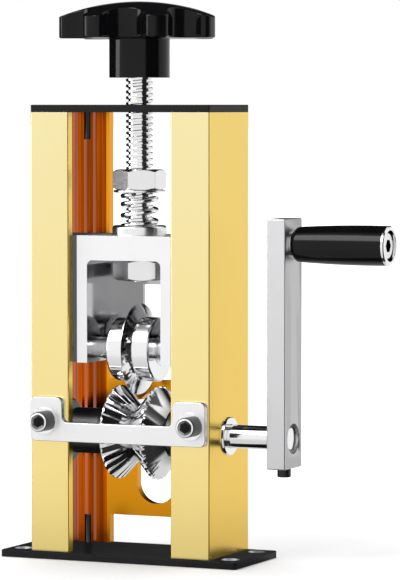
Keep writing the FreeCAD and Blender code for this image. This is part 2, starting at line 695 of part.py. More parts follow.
def make_nut(label, z):
    """A hexagon nut with its corners turned off at both ends."""
    body = new_body(label, z=z)
    hexagon = new_sketch(body, "XY_Plane")
    add_hexagon(hexagon, "nut_flats")
    pad(body, hexagon, "nut_height")
    edge = "nut_crown / 2"
    wide = "(nut_flats / sqrt(3) + small_chamfer)"
    fall = "(%s - nut_crown / 2) * tan(30)" % wide
    drawing = new_sketch(body, "XZ_Plane")
    add_outline(drawing, [(edge, "0"), (wide, "0"), (wide, fall)])
    add_outline(drawing, [(edge, "nut_height"), (wide, "nut_height - " + fall), (wide, "nut_height")])
    groove = body.newObject("PartDesign::Groove", label + "_crown")
    groove.Profile = drawing
    groove.ReferenceAxis = (drawing, ["V_Axis"])
    groove.Angle = 360
    DOC.recompute()
    bore = new_sketch(body, "XY_Plane", "nut_height")
    add_circle(bore, "0", "0", "screw_diameter + 2 * seat_gap")
    pocket(body, bore, "nut_height")


def make_spring_seat():
    washer = new_body("spring_washer", z=UPPER_NUT_Z + " - washer_thick")
    tube(washer, SCREW_BORE, "washer_diameter", "washer_thick")
    cup = new_body("spring_cup", z=CARRIAGE_TOP)
    bore = SCREW_BORE + " / 2"
    dish = "(spring_outer / 2 + 2 * free_gap)"
    outside = "cup_diameter / 2"
    wall = [(bore, "0"), (outside, "0"), (outside, "cup_height"), (dish, "cup_height")]
    turn_profile(cup, wall + [(dish, "cup_floor"), (bore, "cup_floor")])
    soften(cup, "Fillet", "cup_round", circle_at("cup_height", "cup_diameter"))


def biarc(start, start_way, end, end_way):
    """Two arcs that leave start and reach end along the given directions."""
    chord = end - start
    ways = start_way + end_way
    slope = 2 * (1 - start_way * end_way)
    along = chord * ways
    reach = (math.sqrt(along ** 2 + slope * chord.Length ** 2) - along) / slope
    first = start + start_way * reach
    last = end - end_way * reach
    middle = (first + last) * 0.5
    return [arc_by_corner(start, first, middle), arc_by_corner(middle, last, end)]


def arc_by_corner(start, corner, end):
    """The arc from start to end whose tangents meet at the corner."""
    half = (end - start) * 0.5
    foot = start + half
    rise = (corner - foot).Length
    sagitta = half.Length * (math.hypot(half.Length, rise) - half.Length) / rise
    return Part.Arc(start, foot + (corner - foot).normalize() * sagitta, end).toShape()


def make_spring():
    """An open coil whose end turns lie closer, running out straight at both ends."""
    wire = number("spring_wire")
    radius = number("spring_outer - spring_wire") / 2
    low = number(CARRIAGE_TOP + " + cup_floor + rest_gap + spring_wire / 2")
    high = number(UPPER_NUT_Z + " - washer_thick - rest_gap - spring_wire / 2")
    quarter = math.pi / 2
    end_slope = number("end_pitch") / (2 * math.pi)
    end_steps = round(number("end_turns") * 4)
    end_weight = 2 * end_steps + 1
    left_over = (high - low) / quarter - end_weight * end_slope
    middle_steps = round(left_over / (number("spring_pitch") / (2 * math.pi)))
    steps = middle_steps + end_weight
    slopes = [left_over / middle_steps] * (steps + 1)
    for index in range(end_steps + 1):
        slopes[index] = end_slope
        slopes[steps - index] = end_slope
    points = []
    ways = []
    height = low
    for index, slope in enumerate(slopes):
        if index:
            height += quarter * (slopes[index - 1] + slope) / 2
        angle = index * quarter
        points.append(FreeCAD.Vector(radius * math.cos(angle), radius * math.sin(angle), height))
        way = FreeCAD.Vector(-radius * math.sin(angle), radius * math.cos(angle), slope)
        ways.append(way.normalize())
    edges = [Part.LineSegment(points[0] - ways[0] * wire, points[0]).toShape()]
    for index in range(steps):
        edges += biarc(points[index], ways[index], points[index + 1], ways[index + 1])
    edges.append(Part.LineSegment(points[-1], points[-1] + ways[-1] * wire).toShape())
    path = Part.Wire(edges)
    ring = Part.Circle(points[0] - ways[0] * wire, ways[0], wire / 2).toShape()
    shell = Part.BRepOffsetAPI.MakePipeShell(path)
    shell.add(Part.Wire(ring))
    shell.build()
    shell.makeSolid()
    spring = DOC.addObject("Part::Feature", "spring")
    spring.Label = "spring"
    spring.Shape = shell.shape()
    spring.Placement = FreeCAD.Placement()
    NODES.append(spring)
    print("spring: %.2f turns, least gap to itself %.2f mm" % (steps / 4, least_gap(path, wire)))
    swept = math.pi * wire ** 2 / 4 * path.Length
    print("spring: volume over wire section times length %.4f" % (spring.Shape.Volume / swept))


def least_gap(path, wire):
    """The least distance between the wire's surface and its own other turns."""
    count = 400
    points = path.discretize(Number=count)
    far = round(wire * 3 / path.Length * count)
    pairs = [(a, b) for a in range(count) for b in range(a + far, count)]
    return min((points[a] - points[b]).Length for a, b in pairs) - wire


def make_carriage():
    """A cross-shaped block with a window from below and a thin web behind, slotted for the blade."""
    body = new_body("carriage", z=LEG_Z)
    half = "window_width / 2"
    ceiling = "(carriage_height - carriage_band)"
    face = "carriage_face / 2"
    section = new_sketch(body, "XY_Plane")
    front = [("-" + face, "-" + CARRIAGE_Y), (face, "-" + CARRIAGE_Y), (face, "-" + SHOULDER_Y)]
    right = [(CARRIAGE_X, "-" + SHOULDER_Y), (CARRIAGE_X, SHOULDER_Y), (face, SHOULDER_Y)]
    back = [(face, CARRIAGE_Y), ("-" + face, CARRIAGE_Y), ("-" + face, SHOULDER_Y)]
    left = [("-" + CARRIAGE_X, SHOULDER_Y), ("-" + CARRIAGE_X, "-" + SHOULDER_Y)]
    add_outline(section, front + right + back + left + [("-" + face, "-" + SHOULDER_Y)])
    pad(body, section, "carriage_height")
    window = new_sketch(body, "XZ_Plane", CARRIAGE_Y)
    add_rectangle(window, "-" + half, "0", half, ceiling)
    pocket(body, window, "2 * " + CARRIAGE_Y)
    corner = number(half)
    level = number(ceiling)
    along_y = straight(FreeCAD.Vector(0, 1, 0))

    def window_corner(edge):
        point = edge.Vertexes[0].Point
        return along_y(edge) and abs(abs(point.x) - corner) < 0.001 and abs(point.z - level) < 0.001
    soften(body, "Fillet", "window_corner", window_corner)
    web = new_sketch(body, "XZ_Plane", "-" + CARRIAGE_Y)
    gap = "web_slot / 2"
    slot_top = "(carriage_height - web_top)"
    over = "(%s + window_corner)" % ceiling
    left = [("-" + half, "0"), ("-" + gap, "0"), ("-" + gap, slot_top), (gap, slot_top)]
    add_outline(web, left + [(gap, "0"), (half, "0"), (half, over), ("-" + half, over)])
    pad(body, web, "web")
    bore = new_sketch(body, "XY_Plane", "carriage_height")
    add_circle(bore, "0", "0", SCREW_BORE)
    pocket(body, bore, "carriage_band")
    axle = new_sketch(body, "YZ_Plane", "-" + CARRIAGE_X)
    add_circle(axle, "0", "axle_rise", "axle_diameter + 2 * seat_gap")
    pocket(body, axle, "2 * " + CARRIAGE_X, other_way=True)
    grubs = new_sketch(body, "XZ_Plane", CARRIAGE_Y)
    for side in ("-" + GRUB_X, GRUB_X):
        add_circle(grubs, side, "axle_rise", "grub_diameter + 2 * seat_gap")
    pocket(body, grubs, CARRIAGE_Y)


def make_axle():
    length = "(%s - axle_inset)" % CARRIAGE_X
    axle = new_body("blade_axle", "-" + length, "0", BLADE_Z, ALONG_X)
    radius = "axle_diameter / 2"
    turn_profile(axle, [("0", "0"), (radius, "0"), (radius, "2 * " + length), ("0", "2 * " + length)])
    front = "-axle_diameter / 2 - grub_length"
    grubs = new_body("axle_grub_screws", "-" + GRUB_X, front, BLADE_Z, TOWARDS_USER)
    screw = turn_profile(grubs, [("0", "0 - grub_length"), ("grub_diameter / 2", "0 - grub_length"),
                                 ("grub_diameter / 2", "0"), ("0", "0")])
    key = socket(grubs, "grub_key", "0", "grub_length / 3")
    repeat(grubs, [screw, key], "2 * " + GRUB_X)
    room = "(window_width / 2 - drum_length / 2 - rest_gap)"
    spacers = new_body("axle_spacers", "-window_width / 2", "0", BLADE_Z, ALONG_X)
    spacers.AllowCompound = True
    for start in ("0", "window_width - " + room):
        drawing = new_sketch(spacers, "XY_Plane", start)
        add_circle(drawing, "0", "0", "spacer_diameter")
        add_circle(drawing, "0", "0", "axle_diameter + 2 * seat_gap")
        pad(spacers, drawing, room)


def make_blade():
    """A round blade clamped between two drum halves that run on ball bearings."""
    bore = "((axle_diameter + bearing_diameter) / 4)"
    edge = "blade_thick / 2"
    land = "blade_land / 2"
    blade = new_body("blade", z=BLADE_Z, turn=ALONG_X)
    lower = [(bore, "-" + edge), ("drum_diameter / 2", "-" + edge), ("blade_diameter / 2", "-" + land)]
    upper = [("blade_diameter / 2", land), ("drum_diameter / 2", edge), (bore, edge)]
    turn_profile(blade, lower + upper)
    for side, turn in (("left", ALONG_MINUS_X), ("right", ALONG_X)):
        drum = new_body("blade_drum_" + side, z=BLADE_Z, turn=turn)
        seat = "(bearing_diameter / 2 + seat_gap)"
        floor = DRUM_END + " - bearing_width"
        inner = [(bore, edge), ("drum_diameter / 2", edge), ("drum_diameter / 2", DRUM_END)]
        turn_profile(drum, inner + [(seat, DRUM_END), (seat, floor), (bore, floor)])
        soften(drum, "Fillet", "drum_round", circle_at(DRUM_END, "drum_diameter"))
        start = ("-" if side == "left" else "") + "(%s - bearing_width)" % DRUM_END
        bearing = new_body("blade_bearing_" + side, start, "0", BLADE_Z, turn)
        tube(bearing, "axle_diameter + 2 * running_gap", "bearing_diameter", "bearing_width")


def make_feed_roller():
    """Two cones end to end, their flanks serrated towards the groove between them."""
    body = new_body("feed_roller", z=SHAFT_Z, turn=ALONG_X)
    bore = "(shaft_diameter / 2 + seat_gap)"
    end = "roller_length / 2"
    outer = "(rim_spacing + rim_land) / 2"
    inner = "(rim_spacing - rim_land) / 2"
    rim = "roller_diameter / 2"
    low = [(bore, "-" + end), ("roller_hub / 2", "-" + end), (rim, "-" + outer), (rim, "-" + inner)]
    high = [("roller_waist / 2", "0"), (rim, inner), (rim, outer), ("roller_hub / 2", end), (bore, end)]
    turn_profile(body, low + high)
    for side in ("", "-"):
        cut_serrations(body, side, inner)
    keyway = new_sketch(body, "XY_Plane", end)
    far = "(shaft_diameter / 2 - key_sink + key_width + seat_gap)"
    add_rectangle(keyway, "-" + far, "-key_width / 2 - seat_gap", "0", "key_width / 2 + seat_gap")
    pocket(body, keyway, "roller_length")


def cut_serrations(body, side, inner):
    """Notches from waist to rim on one flank, each deeper and wider towards the rim."""
    waist_cut = new_sketch(body, "YZ_Plane", "roller_waist / 2 - tooth_start")
    near = "tooth_start"
    add_outline(waist_cut, [("0", "0"), (near, side + near + " * 2"), ("-" + near, side + near + " * 2")])
    rim_cut = new_sketch(body, "YZ_Plane", "roller_diameter / 2 + rim_land")
    root = side + "(%s + rim_land - tooth_depth)" % inner
    top = side + "(%s + rim_land + tooth_depth)" % inner
    add_outline(rim_cut, [("0", root), ("tooth_depth", top), ("-tooth_depth", top)])
    loft = body.newObject("PartDesign::SubtractiveLoft", "serration")
    loft.Profile = waist_cut
    loft.Sections = [rim_cut]
    loft.Ruled = True
    DOC.recompute()
    ring_pattern(body, [loft], "teeth")


def make_drive_shaft():
    left = "(body_width / 2 + bush_proud + rest_gap + clip_thick + rest_gap + shaft_stub)"
    right = "(%s - arm_recess_deep + shaft_proud)" % HANDLE_X
    radius = "shaft_diameter / 2"
    body = new_body("drive_shaft", z=SHAFT_Z, turn=ALONG_X)
    groove = "(shaft_diameter / 2 - clip_groove)"
    clip_in = "-(body_width / 2 + bush_proud)"
    clip_out = "(%s - clip_thick - 2 * rest_gap)" % clip_in
    end = [("0", "-" + left), (radius, "-" + left), (radius, clip_out), (groove, clip_out)]
    turn_profile(body, end + [(groove, clip_in), (radius, clip_in), (radius, right), ("0", right)])
    soften(body, "Chamfer", "small_chamfer", circle_at(right, "shaft_diameter"))
    keyway = new_sketch(body, "YZ_Plane", "-" + radius)
    half = "(key_width / 2 + seat_gap)"
    reach = "(key_length / 2 + seat_gap)"
    add_rectangle(keyway, "-" + half, "-" + reach, half, reach)
    pocket(body, keyway, "key_sink", other_way=True)
    key = new_body("roller_key", z=SHAFT_Z)
    outline = new_sketch(key, "XY_Plane", "shaft_diameter / 2 - key_sink + seat_gap")
    add_rectangle(outline, "-key_length / 2", "-key_width / 2", "key_length / 2", "key_width / 2")
    pad(key, outline, "key_width - seat_gap")
    clip = new_body("shaft_clip", "-(body_width / 2 + bush_proud + rest_gap)", "0", SHAFT_Z, ALONG_MINUS_X)
    tube(clip, "shaft_diameter - 2 * clip_groove + 2 * seat_gap", "clip_diameter", "clip_thick")
    gap = new_sketch(clip, "XY_Plane", "clip_thick")
    add_rectangle(gap, "0", "-shaft_diameter / 4", "clip_diameter", "shaft_diameter / 4")
    pocket(clip, gap, "clip_thick")


def make_shaft_supports(side, turn, sign):
    """One side's wall bush, bearing housing with its screws, and shaft sleeve."""
    bore = "shaft_diameter / 2 + running_gap"
    bush = new_body("wall_bush_" + side, sign + "(body_width / 2)", "0", SHAFT_Z, turn)
    inside = [(bore, "-wall"), ("bush_diameter / 2", "-wall"), ("bush_diameter / 2", "0")]
    flange = [("bush_flange / 2", "0"), ("bush_flange / 2", "bush_proud"), (bore, "bush_proud")]
    turn_profile(bush, inside + flange)
    soften(bush, "Fillet", "bush_proud / 3", circle_at("bush_proud", "bush_flange"))
    face = "(body_width / 2 - wall - housing_thick)"
    housing = new_body("bearing_housing_" + side, sign + face, "0", SHAFT_Z, turn)
    tube(housing, "shaft_diameter + 2 * free_gap", "housing_diameter", "housing_thick")
    soften(housing, "Chamfer", "housing_edge", circle_at("0", "housing_diameter"))
    holes = new_sketch(housing, "XY_Plane", "housing_thick")
    add_circle(holes, "0", HOUSING_Y, "housing_screw + free_gap")
    hole = pocket(housing, holes, "housing_thick")
    ring_pattern(housing, [hole], "housing_screws")
    screws = new_body("housing_screws_" + side, sign + face, "0", SHAFT_Z, turn)
    screws.AllowCompound = True
    heads = new_sketch(screws, "XY_Plane")
    add_circle(heads, "0", HOUSING_Y, "housing_screw_head")
    head = pad(screws, heads, "housing_screw_tall", other_way=True)
    shanks = new_sketch(screws, "XY_Plane")
    add_circle(shanks, "0", HOUSING_Y, "housing_screw")
    shank = pad(screws, shanks, "housing_thick + housing_screw_bite")
    keys = new_sketch(screws, "XY_Plane", "-housing_screw_tall")
    add_hexagon(keys, "housing_screw_key", HOUSING_Y)
    key = pocket(screws, keys, "housing_screw_tall / 2", other_way=True)
    ring_pattern(screws, [head, shank, key], "housing_screws")
    sleeve = new_body("shaft_sleeve_" + side, sign + "(roller_length / 2)", "0", SHAFT_Z, turn)
    length = face + " - roller_length / 2 - housing_screw_tall - free_gap"
    tube(sleeve, "shaft_diameter + 2 * seat_gap", "sleeve_diameter", length)


def make_crank_arm():
    body = new_body("crank_arm", ARM_X, "0", SHAFT_Z)
    outline = new_sketch(body, "YZ_Plane")
    add_rectangle(outline, "-arm_width / 2", "-arm_foot", "arm_width / 2", "crank_throw + arm_head")
    pad(body, outline, "arm_thick")
    soften(body, "Fillet", "arm_edge", lambda edge: True)
    bore = new_sketch(body, "YZ_Plane", "arm_thick")
    add_circle(bore, "0", "0", "shaft_diameter + 2 * seat_gap")
    pocket(body, bore, "arm_thick")
    recess = new_sketch(body, "YZ_Plane", "arm_thick")
    add_circle(recess, "0", "0", "arm_recess")
    pocket(body, recess, "arm_recess_deep")
    pivot = new_sketch(body, "YZ_Plane", "arm_thick")
    add_circle(pivot, "0", "crank_throw", "bolt_thread + 2 * seat_gap")
    pocket(body, pivot, "arm_thick")
    clamp = new_sketch(body, "XY_Plane", "-arm_foot")
    add_circle(clamp, "arm_thick / 2", "0", "clamp_screw + 2 * seat_gap")
    pocket(body, clamp, "arm_foot", other_way=True)
    screw = new_body("crank_clamp_screw", ARM_X + " + arm_thick / 2", "0", SHAFT_Z + " - arm_foot", DOWNWARDS)
    sizes = ("clamp_screw", "clamp_head", "clamp_head_tall", "clamp_key")
    cap_screw(screw, sizes, "arm_foot - shaft_diameter / 2 - rest_gap", "clamp_head_tall / 2")


def make_handle():
    """A grip that turns on a shoulder bolt, with a washer behind it and a ring at its end."""
    height = SHAFT_Z + " + crank_throw"
    start = HANDLE_X + " + handle_washer + rest_gap"
    washer = new_body("handle_washer", HANDLE_X, "0", height, ALONG_X)
    tube(washer, "bolt_shoulder + 2 * seat_gap", "handle_washer_wide", "handle_washer")
    bolt = new_body("handle_bolt", HANDLE_X, "0", height, ALONG_X)
    thread = "bolt_thread / 2"
    shoulder = "bolt_shoulder / 2"
    seat = "(handle_washer + grip_length - grip_recess + 2 * rest_gap)"
    top = "(%s + bolt_head_tall)" % seat
    stem = [("0", "-arm_thick"), (thread, "-arm_thick"), (thread, "0"), (shoulder, "0"), (shoulder, seat)]
    turn_profile(bolt, stem + [("bolt_head / 2", seat), ("bolt_head / 2", top), ("0", top)])
    soften(bolt, "Chamfer", "small_chamfer", circle_at(top, "bolt_head"))
    socket(bolt, "bolt_key", top, "bolt_key_deep")
    grip = new_body("handle_grip", start, "0", height, ALONG_X)
    bore = "(bolt_shoulder / 2 + running_gap)"
    wide = "grip_counterbore / 2"
    floor = "(grip_length - grip_recess)"
    side = [(bore, "0"), ("grip_inner / 2", "0", "grip_swell"), ("grip_outer / 2", "grip_length")]
    turn_profile(grip, side + [(wide, "grip_length"), (wide, floor), (bore, floor)])
    soften(grip, "Fillet", "grip_shoulder", circle_at("0", "grip_inner"))
    ring = new_body("handle_end_ring", start + " + grip_length", "0", height, ALONG_X)
    tube(ring, "grip_counterbore", "grip_outer", "ring_length")
    soften(ring, "Chamfer", "ring_edge", circle_at("ring_length", "grip_outer"))


def check(thing):
    """Stops the build where a piece or one of its features has failed."""
    if set(thing.State) & {"Invalid", "Error"}:
        raise RuntimeError(thing.Label + " has failed")


make_base_plate()
make_body_frame()
make_top_plate()
make_screw_bush()
make_plate_screws("base_screws", "0", DOWNWARDS, PORT_Y)
make_plate_screws("top_plate_screws", BODY_TOP + " + top_thick", None, "-" + PORT_Y)
make_front_bar()
make_knob()
make_lead_screw()
make_nut("upper_nut", UPPER_NUT_Z)
make_nut("lower_nut", LOWER_NUT_Z)
make_spring_seat()
make_spring()
make_carriage()
make_axle()
make_blade()
make_feed_roller()
make_drive_shaft()
make_shaft_supports("left", ALONG_MINUS_X, "-")
make_shaft_supports("right", ALONG_X, "")
make_crank_arm()
make_handle()

DOC.recompute()
for thing in DOC.Objects:
    check(thing)
os.makedirs("parts", exist_ok=True)
for node in NODES:
    if node.Shape.isNull() or not node.Shape.isValid():
        raise RuntimeError(node.Label + " has no valid shape")
    node.Shape.exportStep("parts/%s.step" % node.Label)
    solids = len(node.Shape.Solids)
    print("%-24s %2d solids %10.1f mm3" % (node.Label, solids, node.Shape.Volume))
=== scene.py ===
"""Looks of a hand crank wire stripper: finishes, thread, coil, bearings, screw heads and studio."""
import json
import math

import bmesh
import bpy
from mathutils import Matrix, Vector


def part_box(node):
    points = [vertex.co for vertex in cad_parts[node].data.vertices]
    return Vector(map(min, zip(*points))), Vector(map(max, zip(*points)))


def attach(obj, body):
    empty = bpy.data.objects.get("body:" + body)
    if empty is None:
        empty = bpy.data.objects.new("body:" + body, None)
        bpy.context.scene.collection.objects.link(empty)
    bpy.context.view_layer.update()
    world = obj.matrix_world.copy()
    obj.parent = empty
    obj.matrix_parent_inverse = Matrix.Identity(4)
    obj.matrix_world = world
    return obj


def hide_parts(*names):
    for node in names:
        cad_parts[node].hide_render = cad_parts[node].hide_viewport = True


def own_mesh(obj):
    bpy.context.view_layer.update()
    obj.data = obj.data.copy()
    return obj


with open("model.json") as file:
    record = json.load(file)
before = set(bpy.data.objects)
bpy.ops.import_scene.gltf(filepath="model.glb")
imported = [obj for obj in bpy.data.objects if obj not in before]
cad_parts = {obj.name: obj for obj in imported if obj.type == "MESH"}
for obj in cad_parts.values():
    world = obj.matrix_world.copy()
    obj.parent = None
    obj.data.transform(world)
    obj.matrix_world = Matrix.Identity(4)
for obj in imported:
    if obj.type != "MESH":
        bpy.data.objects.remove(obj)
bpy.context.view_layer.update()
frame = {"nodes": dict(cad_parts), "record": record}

bl_info = {
    "name": "Hand crank wire stripper",
    "version": (1, 0, 0),
    "blender": (4, 5, 0),
    "location": "View3D > Sidebar > Stripper",
    "description": "Builds the visible pieces of a hand crank wire stripper round its solids",
    "category": "Object",
}

# Turns that bring a shape's Z to X, to the front, and down.
LYING = Matrix.Rotation(math.radians(90), 4, "Y")
FACING = Matrix.Rotation(math.radians(90), 4, "X")
HANGING = Matrix.Rotation(math.radians(180), 4, "X")

HEX = math.pi / 3
# Marked sockets are black, a painted shade.
SOCKET_PAINTED_SHADE = (0.012, 0.012, 0.012, 1)
# Bare metal on marked faces, partly a painted highlight.
BARE_METAL_AND_HIGHLIGHT = (0.80, 0.80, 0.81, 1)
WHITE = (1, 1, 1, 1)

# Dark flags in reflections: heading and half width in degrees, and the half width of their blur.
FLAGS = ((-14, 28), (158, 43))
FLAG_BLUR = 4
REAR_HEADING = 128
MIRRORED_WHITE = 0.985
MIRRORED_DEPTH = 0.975
LIGHT_OF_ROOM = 0.55

FLOOR_REACH = 30
FLOOR_DROP = 0.0002
FLOOR_GLOW = 1.6
FLOOR_WHITE = (0.82, 0.82, 0.83, 1)

# Name, place, width, height, brightness, and whether reflections show it.
LAMPS = (
    ("key_lamp", (-0.6, -1.0, 1.2), 0.8, 0.8, 6.0, True),
    ("left_lamp", (-1.3, -0.55, 0.35), 0.5, 0.9, 4.0, True),
    ("fill_lamp", (1.6, -0.5, 0.6), 1.0, 1.0, 1.6, False),
    ("top_lamp", (0.0, 0.45, 1.6), 1.1, 1.1, 4.5, False),
)
LAMPS_AIM = Vector((0, 0, 0.13))

CAMERA_LENS = 217.5
CAMERA_PLACE = (0.7614, -1.6233, 0.2321)
CAMERA_DIP = math.radians(3.03)


def length_of(label, text, value):
    """A size that the sidebar shows."""
    return bpy.props.FloatProperty(name=label, description=text, default=value, min=0.0, unit="LENGTH",
                                   precision=5)


def colour_of(label, text, value):
    """A colour that the sidebar shows."""
    return bpy.props.FloatVectorProperty(name=label, description=text, default=value, size=4, min=0.0,
                                         max=1.0, subtype="COLOR")


class StripperSizes(bpy.types.PropertyGroup):
    """Sizes of what is added to the solids."""
    thread_pitch: length_of("Thread pitch", "rise of the lead screw's thread in one turn", 0.003)
    thread_depth: length_of("Thread depth", "depth of the lead screw's thread", 0.0013)
    spring_wire: length_of("Spring wire", "diameter of the spring's wire", 0.0024)
    spring_end_pitch: length_of("Spring end pitch", "rise of the spring's end turns", 0.0031)
    edge_break: length_of("Edge break", "bevel on machined edges", 0.0003)
    cap_height: length_of("Cap height", "height of the guide bar's screw heads", 0.006)
    knurl: length_of("Knurl", "depth of the grooves round the guide bar's screw heads", 0.00014)


class StripperColours(bpy.types.PropertyGroup):
    """Colours of the finishes."""
    # The front's pale gold is a painted sheen; the inside and panel colours hold painted reflection and
    # shade.
    gold_front_painted_sheen: colour_of("Gold front", "front flanges of the column frame", (0.95, 0.84, 0.46, 1))
    gold_side: colour_of("Gold side", "outer sides of the column frame", (0.92, 0.67, 0.15, 1))
    gold_inside_painted_shade: colour_of("Gold inside", "inner walls, deep orange", (0.56, 0.085, 0.002, 1))
    gold_panel: colour_of("Gold panel", "front of the windowed back wall", (0.85, 0.34, 0.010, 1))
    black: colour_of("Black", "plates and screws", (0.006, 0.006, 0.007, 1))
    gloss: colour_of("Gloss black", "knob and grip", (0.002, 0.002, 0.0025, 1))
    chrome: colour_of("Chrome", "roller, blade and shaft", (0.93, 0.93, 0.94, 1))
    steel: colour_of("Steel", "screw, nuts and spring", (0.90, 0.90, 0.91, 1))
    alloy: colour_of("Alloy", "carriage and guide bar", (0.88, 0.88, 0.89, 1))
    dull_alloy: colour_of("Dull alloy", "crank arm", (0.70, 0.70, 0.71, 1))
    brass: colour_of("Brass", "bush and insert", (0.78, 0.56, 0.22, 1))


class Shade:
    """A value in a material. Sums and products of it add the nodes that work them out."""

    def __init__(self, owner, socket):
        self.owner = owner
        self.socket = socket

    def maths(self, operation, first, second=0.0):
        return self.owner.node("ShaderNodeMath", {"operation": operation}, {0: first, 1: second})

    def __add__(self, other):
        return self.maths("ADD", self, other)

    __radd__ = __add__

    def __sub__(self, other):
        return self.maths("SUBTRACT", self, other)

    def __rsub__(self, other):
        return self.maths("SUBTRACT", other, self)

    def __mul__(self, other):
        return self.maths("MULTIPLY", self, other)

    __rmul__ = __mul__

    def size(self):
        """The value without its sign."""
        return self.maths("ABSOLUTE", self)

    def root(self):
        """The square root."""
        return self.maths("SQRT", self)

    def or_more(self, other):
        """The greater of two values."""
        return self.maths("MAXIMUM", self, other)


class NodeTree:
    """A node tree that is filled in by short calls."""

    def __init__(self, tree):
        self.tree = tree

    def node(self, kind, settings=None, inputs=None, output=0):
        """Adds a node, with its settings first and then its sockets' values or links."""
        made = self.tree.nodes.new(kind)
        for name, value in (settings or {}).items():
            setattr(made, name, value)
        for key, value in (inputs or {}).items():
            self.feed(made.inputs[key], value)
        return Shade(self, made.outputs[output])

    def feed(self, socket, value):
        """Links a socket to a value worked out by nodes, or sets it to a plain one."""
        if isinstance(value, Shade):
            self.tree.links.new(value.socket, socket)
        else:
            socket.default_value = value

    def spread(self, value, low, high):
        """Stretches a value between two levels to the whole range from 0 to 1."""
        return self.node("ShaderNodeMapRange", {"clamp": True}, {0: value, 1: low, 2: high})

    def ray(self, kind):
        """1 for rays of a kind, such as Is Camera Ray, and 0 for others."""
        return self.node("ShaderNodeLightPath", output=kind)

    def show(self, shader):
        """Makes a shader the tree's surface."""
        output = next(node for node in self.tree.nodes if node.type.startswith("OUTPUT"))
        self.tree.links.new(shader.socket, output.inputs["Surface"])


class Finish(NodeTree):
    """One procedural material."""

    def __init__(self, name):
        self.material = bpy.data.materials.new(name + "_finish")
        self.material.use_nodes = True
        super().__init__(self.material.node_tree)
        self.shader = self.tree.nodes["Principled BSDF"]

    def place(self, stretch):
        """The piece's own coordinates, in metres, scaled along each axis."""
        here = self.node("ShaderNodeTexCoord", output="Object")
        return self.node("ShaderNodeMapping", {}, {"Vector": here, "Scale": stretch})

    def axes(self):
        """The piece's own x, y and z."""
        here = self.node("ShaderNodeTexCoord", output="Object")
        return [self.node("ShaderNodeSeparateXYZ", {}, {0: here}, output=index) for index in range(3)]

    def noise(self, stretch, detail, rough=0.55):
        """Cloudy values from 0 to 1, with that many blotches to the metre along each axis."""
        inputs = {"Vector": self.place(stretch), "Scale": 1.0, "Detail": detail, "Roughness": rough}
        return self.node("ShaderNodeTexNoise", {}, inputs)

    def blend(self, factor, first, second):
        """The first colour where the factor is 0, the second where it is 1."""
        return self.node("ShaderNodeMix", {"data_type": "RGBA"}, {0: factor, 6: first, 7: second}, output=2)

    def mark(self, name):
        """A piece's own face attribute, 0 where it has none."""
        return self.node("ShaderNodeAttribute", {"attribute_name": name}, output=2)

    def give(self, socket, value):
        """Sets or links one of the shader's own sockets."""
        self.feed(self.shader.inputs[socket], value)

    def above(self, first, second):
        """1 where the first value is greater than the second."""
        return self.node("ShaderNodeMath", {"operation": "GREATER_THAN"}, {0: first, 1: second})

    def relief(self, height, depth):
        """Raises the surface by a value, to that depth in metres."""
        bump = self.node("ShaderNodeBump", {}, {"Height": height, "Distance": depth, "Strength": 1.0})
        self.give("Normal", bump)


def darker(colour, share):
    """The colour at a share of its brightness."""
    return [channel * share for channel in colour[:3]] + [1]


def make_metal(name, colour, roughness, lines, depth, cloud=0.08):
    """Metal with fine machining lines, as many to the metre along each axis, and sockets black with a painted
    shade.
    """
    finish = Finish(name)
    tool = finish.noise(lines, 2.0)
    patches = finish.noise((60, 60, 60), 4.0)
    finish.give("Metallic", 1.0)
    tone = finish.blend(patches, darker(colour, 1 - cloud), list(colour))
    # Faces marked as socket get black, a painted shade.
    finish.give("Base Color", finish.blend(finish.mark("socket"), tone, SOCKET_PAINTED_SHADE))
    finish.give("Roughness", tool * 0.10 + patches * 0.05 + (roughness - 0.07))
    finish.relief(tool, depth)
    return finish


def make_plastic(name, colour, roughness, shine, grain, depth):
    """Black moulded or lacquered surface with a faint orange peel, and bare metal where marked, partly a
    painted highlight.
    """
    finish = Finish(name)
    peel = finish.noise((grain, grain, grain), 2.0)
    dust = finish.noise((45, 45, 45), 5.0)
    bare = finish.mark("bare")
    dusty = [channel * 1.6 + 0.001 for channel in colour[:3]] + [1]
    lacquer = finish.blend(dust, list(colour), dusty)
    # Marked faces turn bare metal, partly a painted highlight.
    finish.give("Base Color", finish.blend(bare, lacquer, BARE_METAL_AND_HIGHLIGHT))
    finish.give("Metallic", bare)
    finish.give("Roughness", dust * 0.06 + (roughness - 0.03))
    finish.give("Specular IOR Level", shine)
    finish.relief(peel, depth)
    return finish


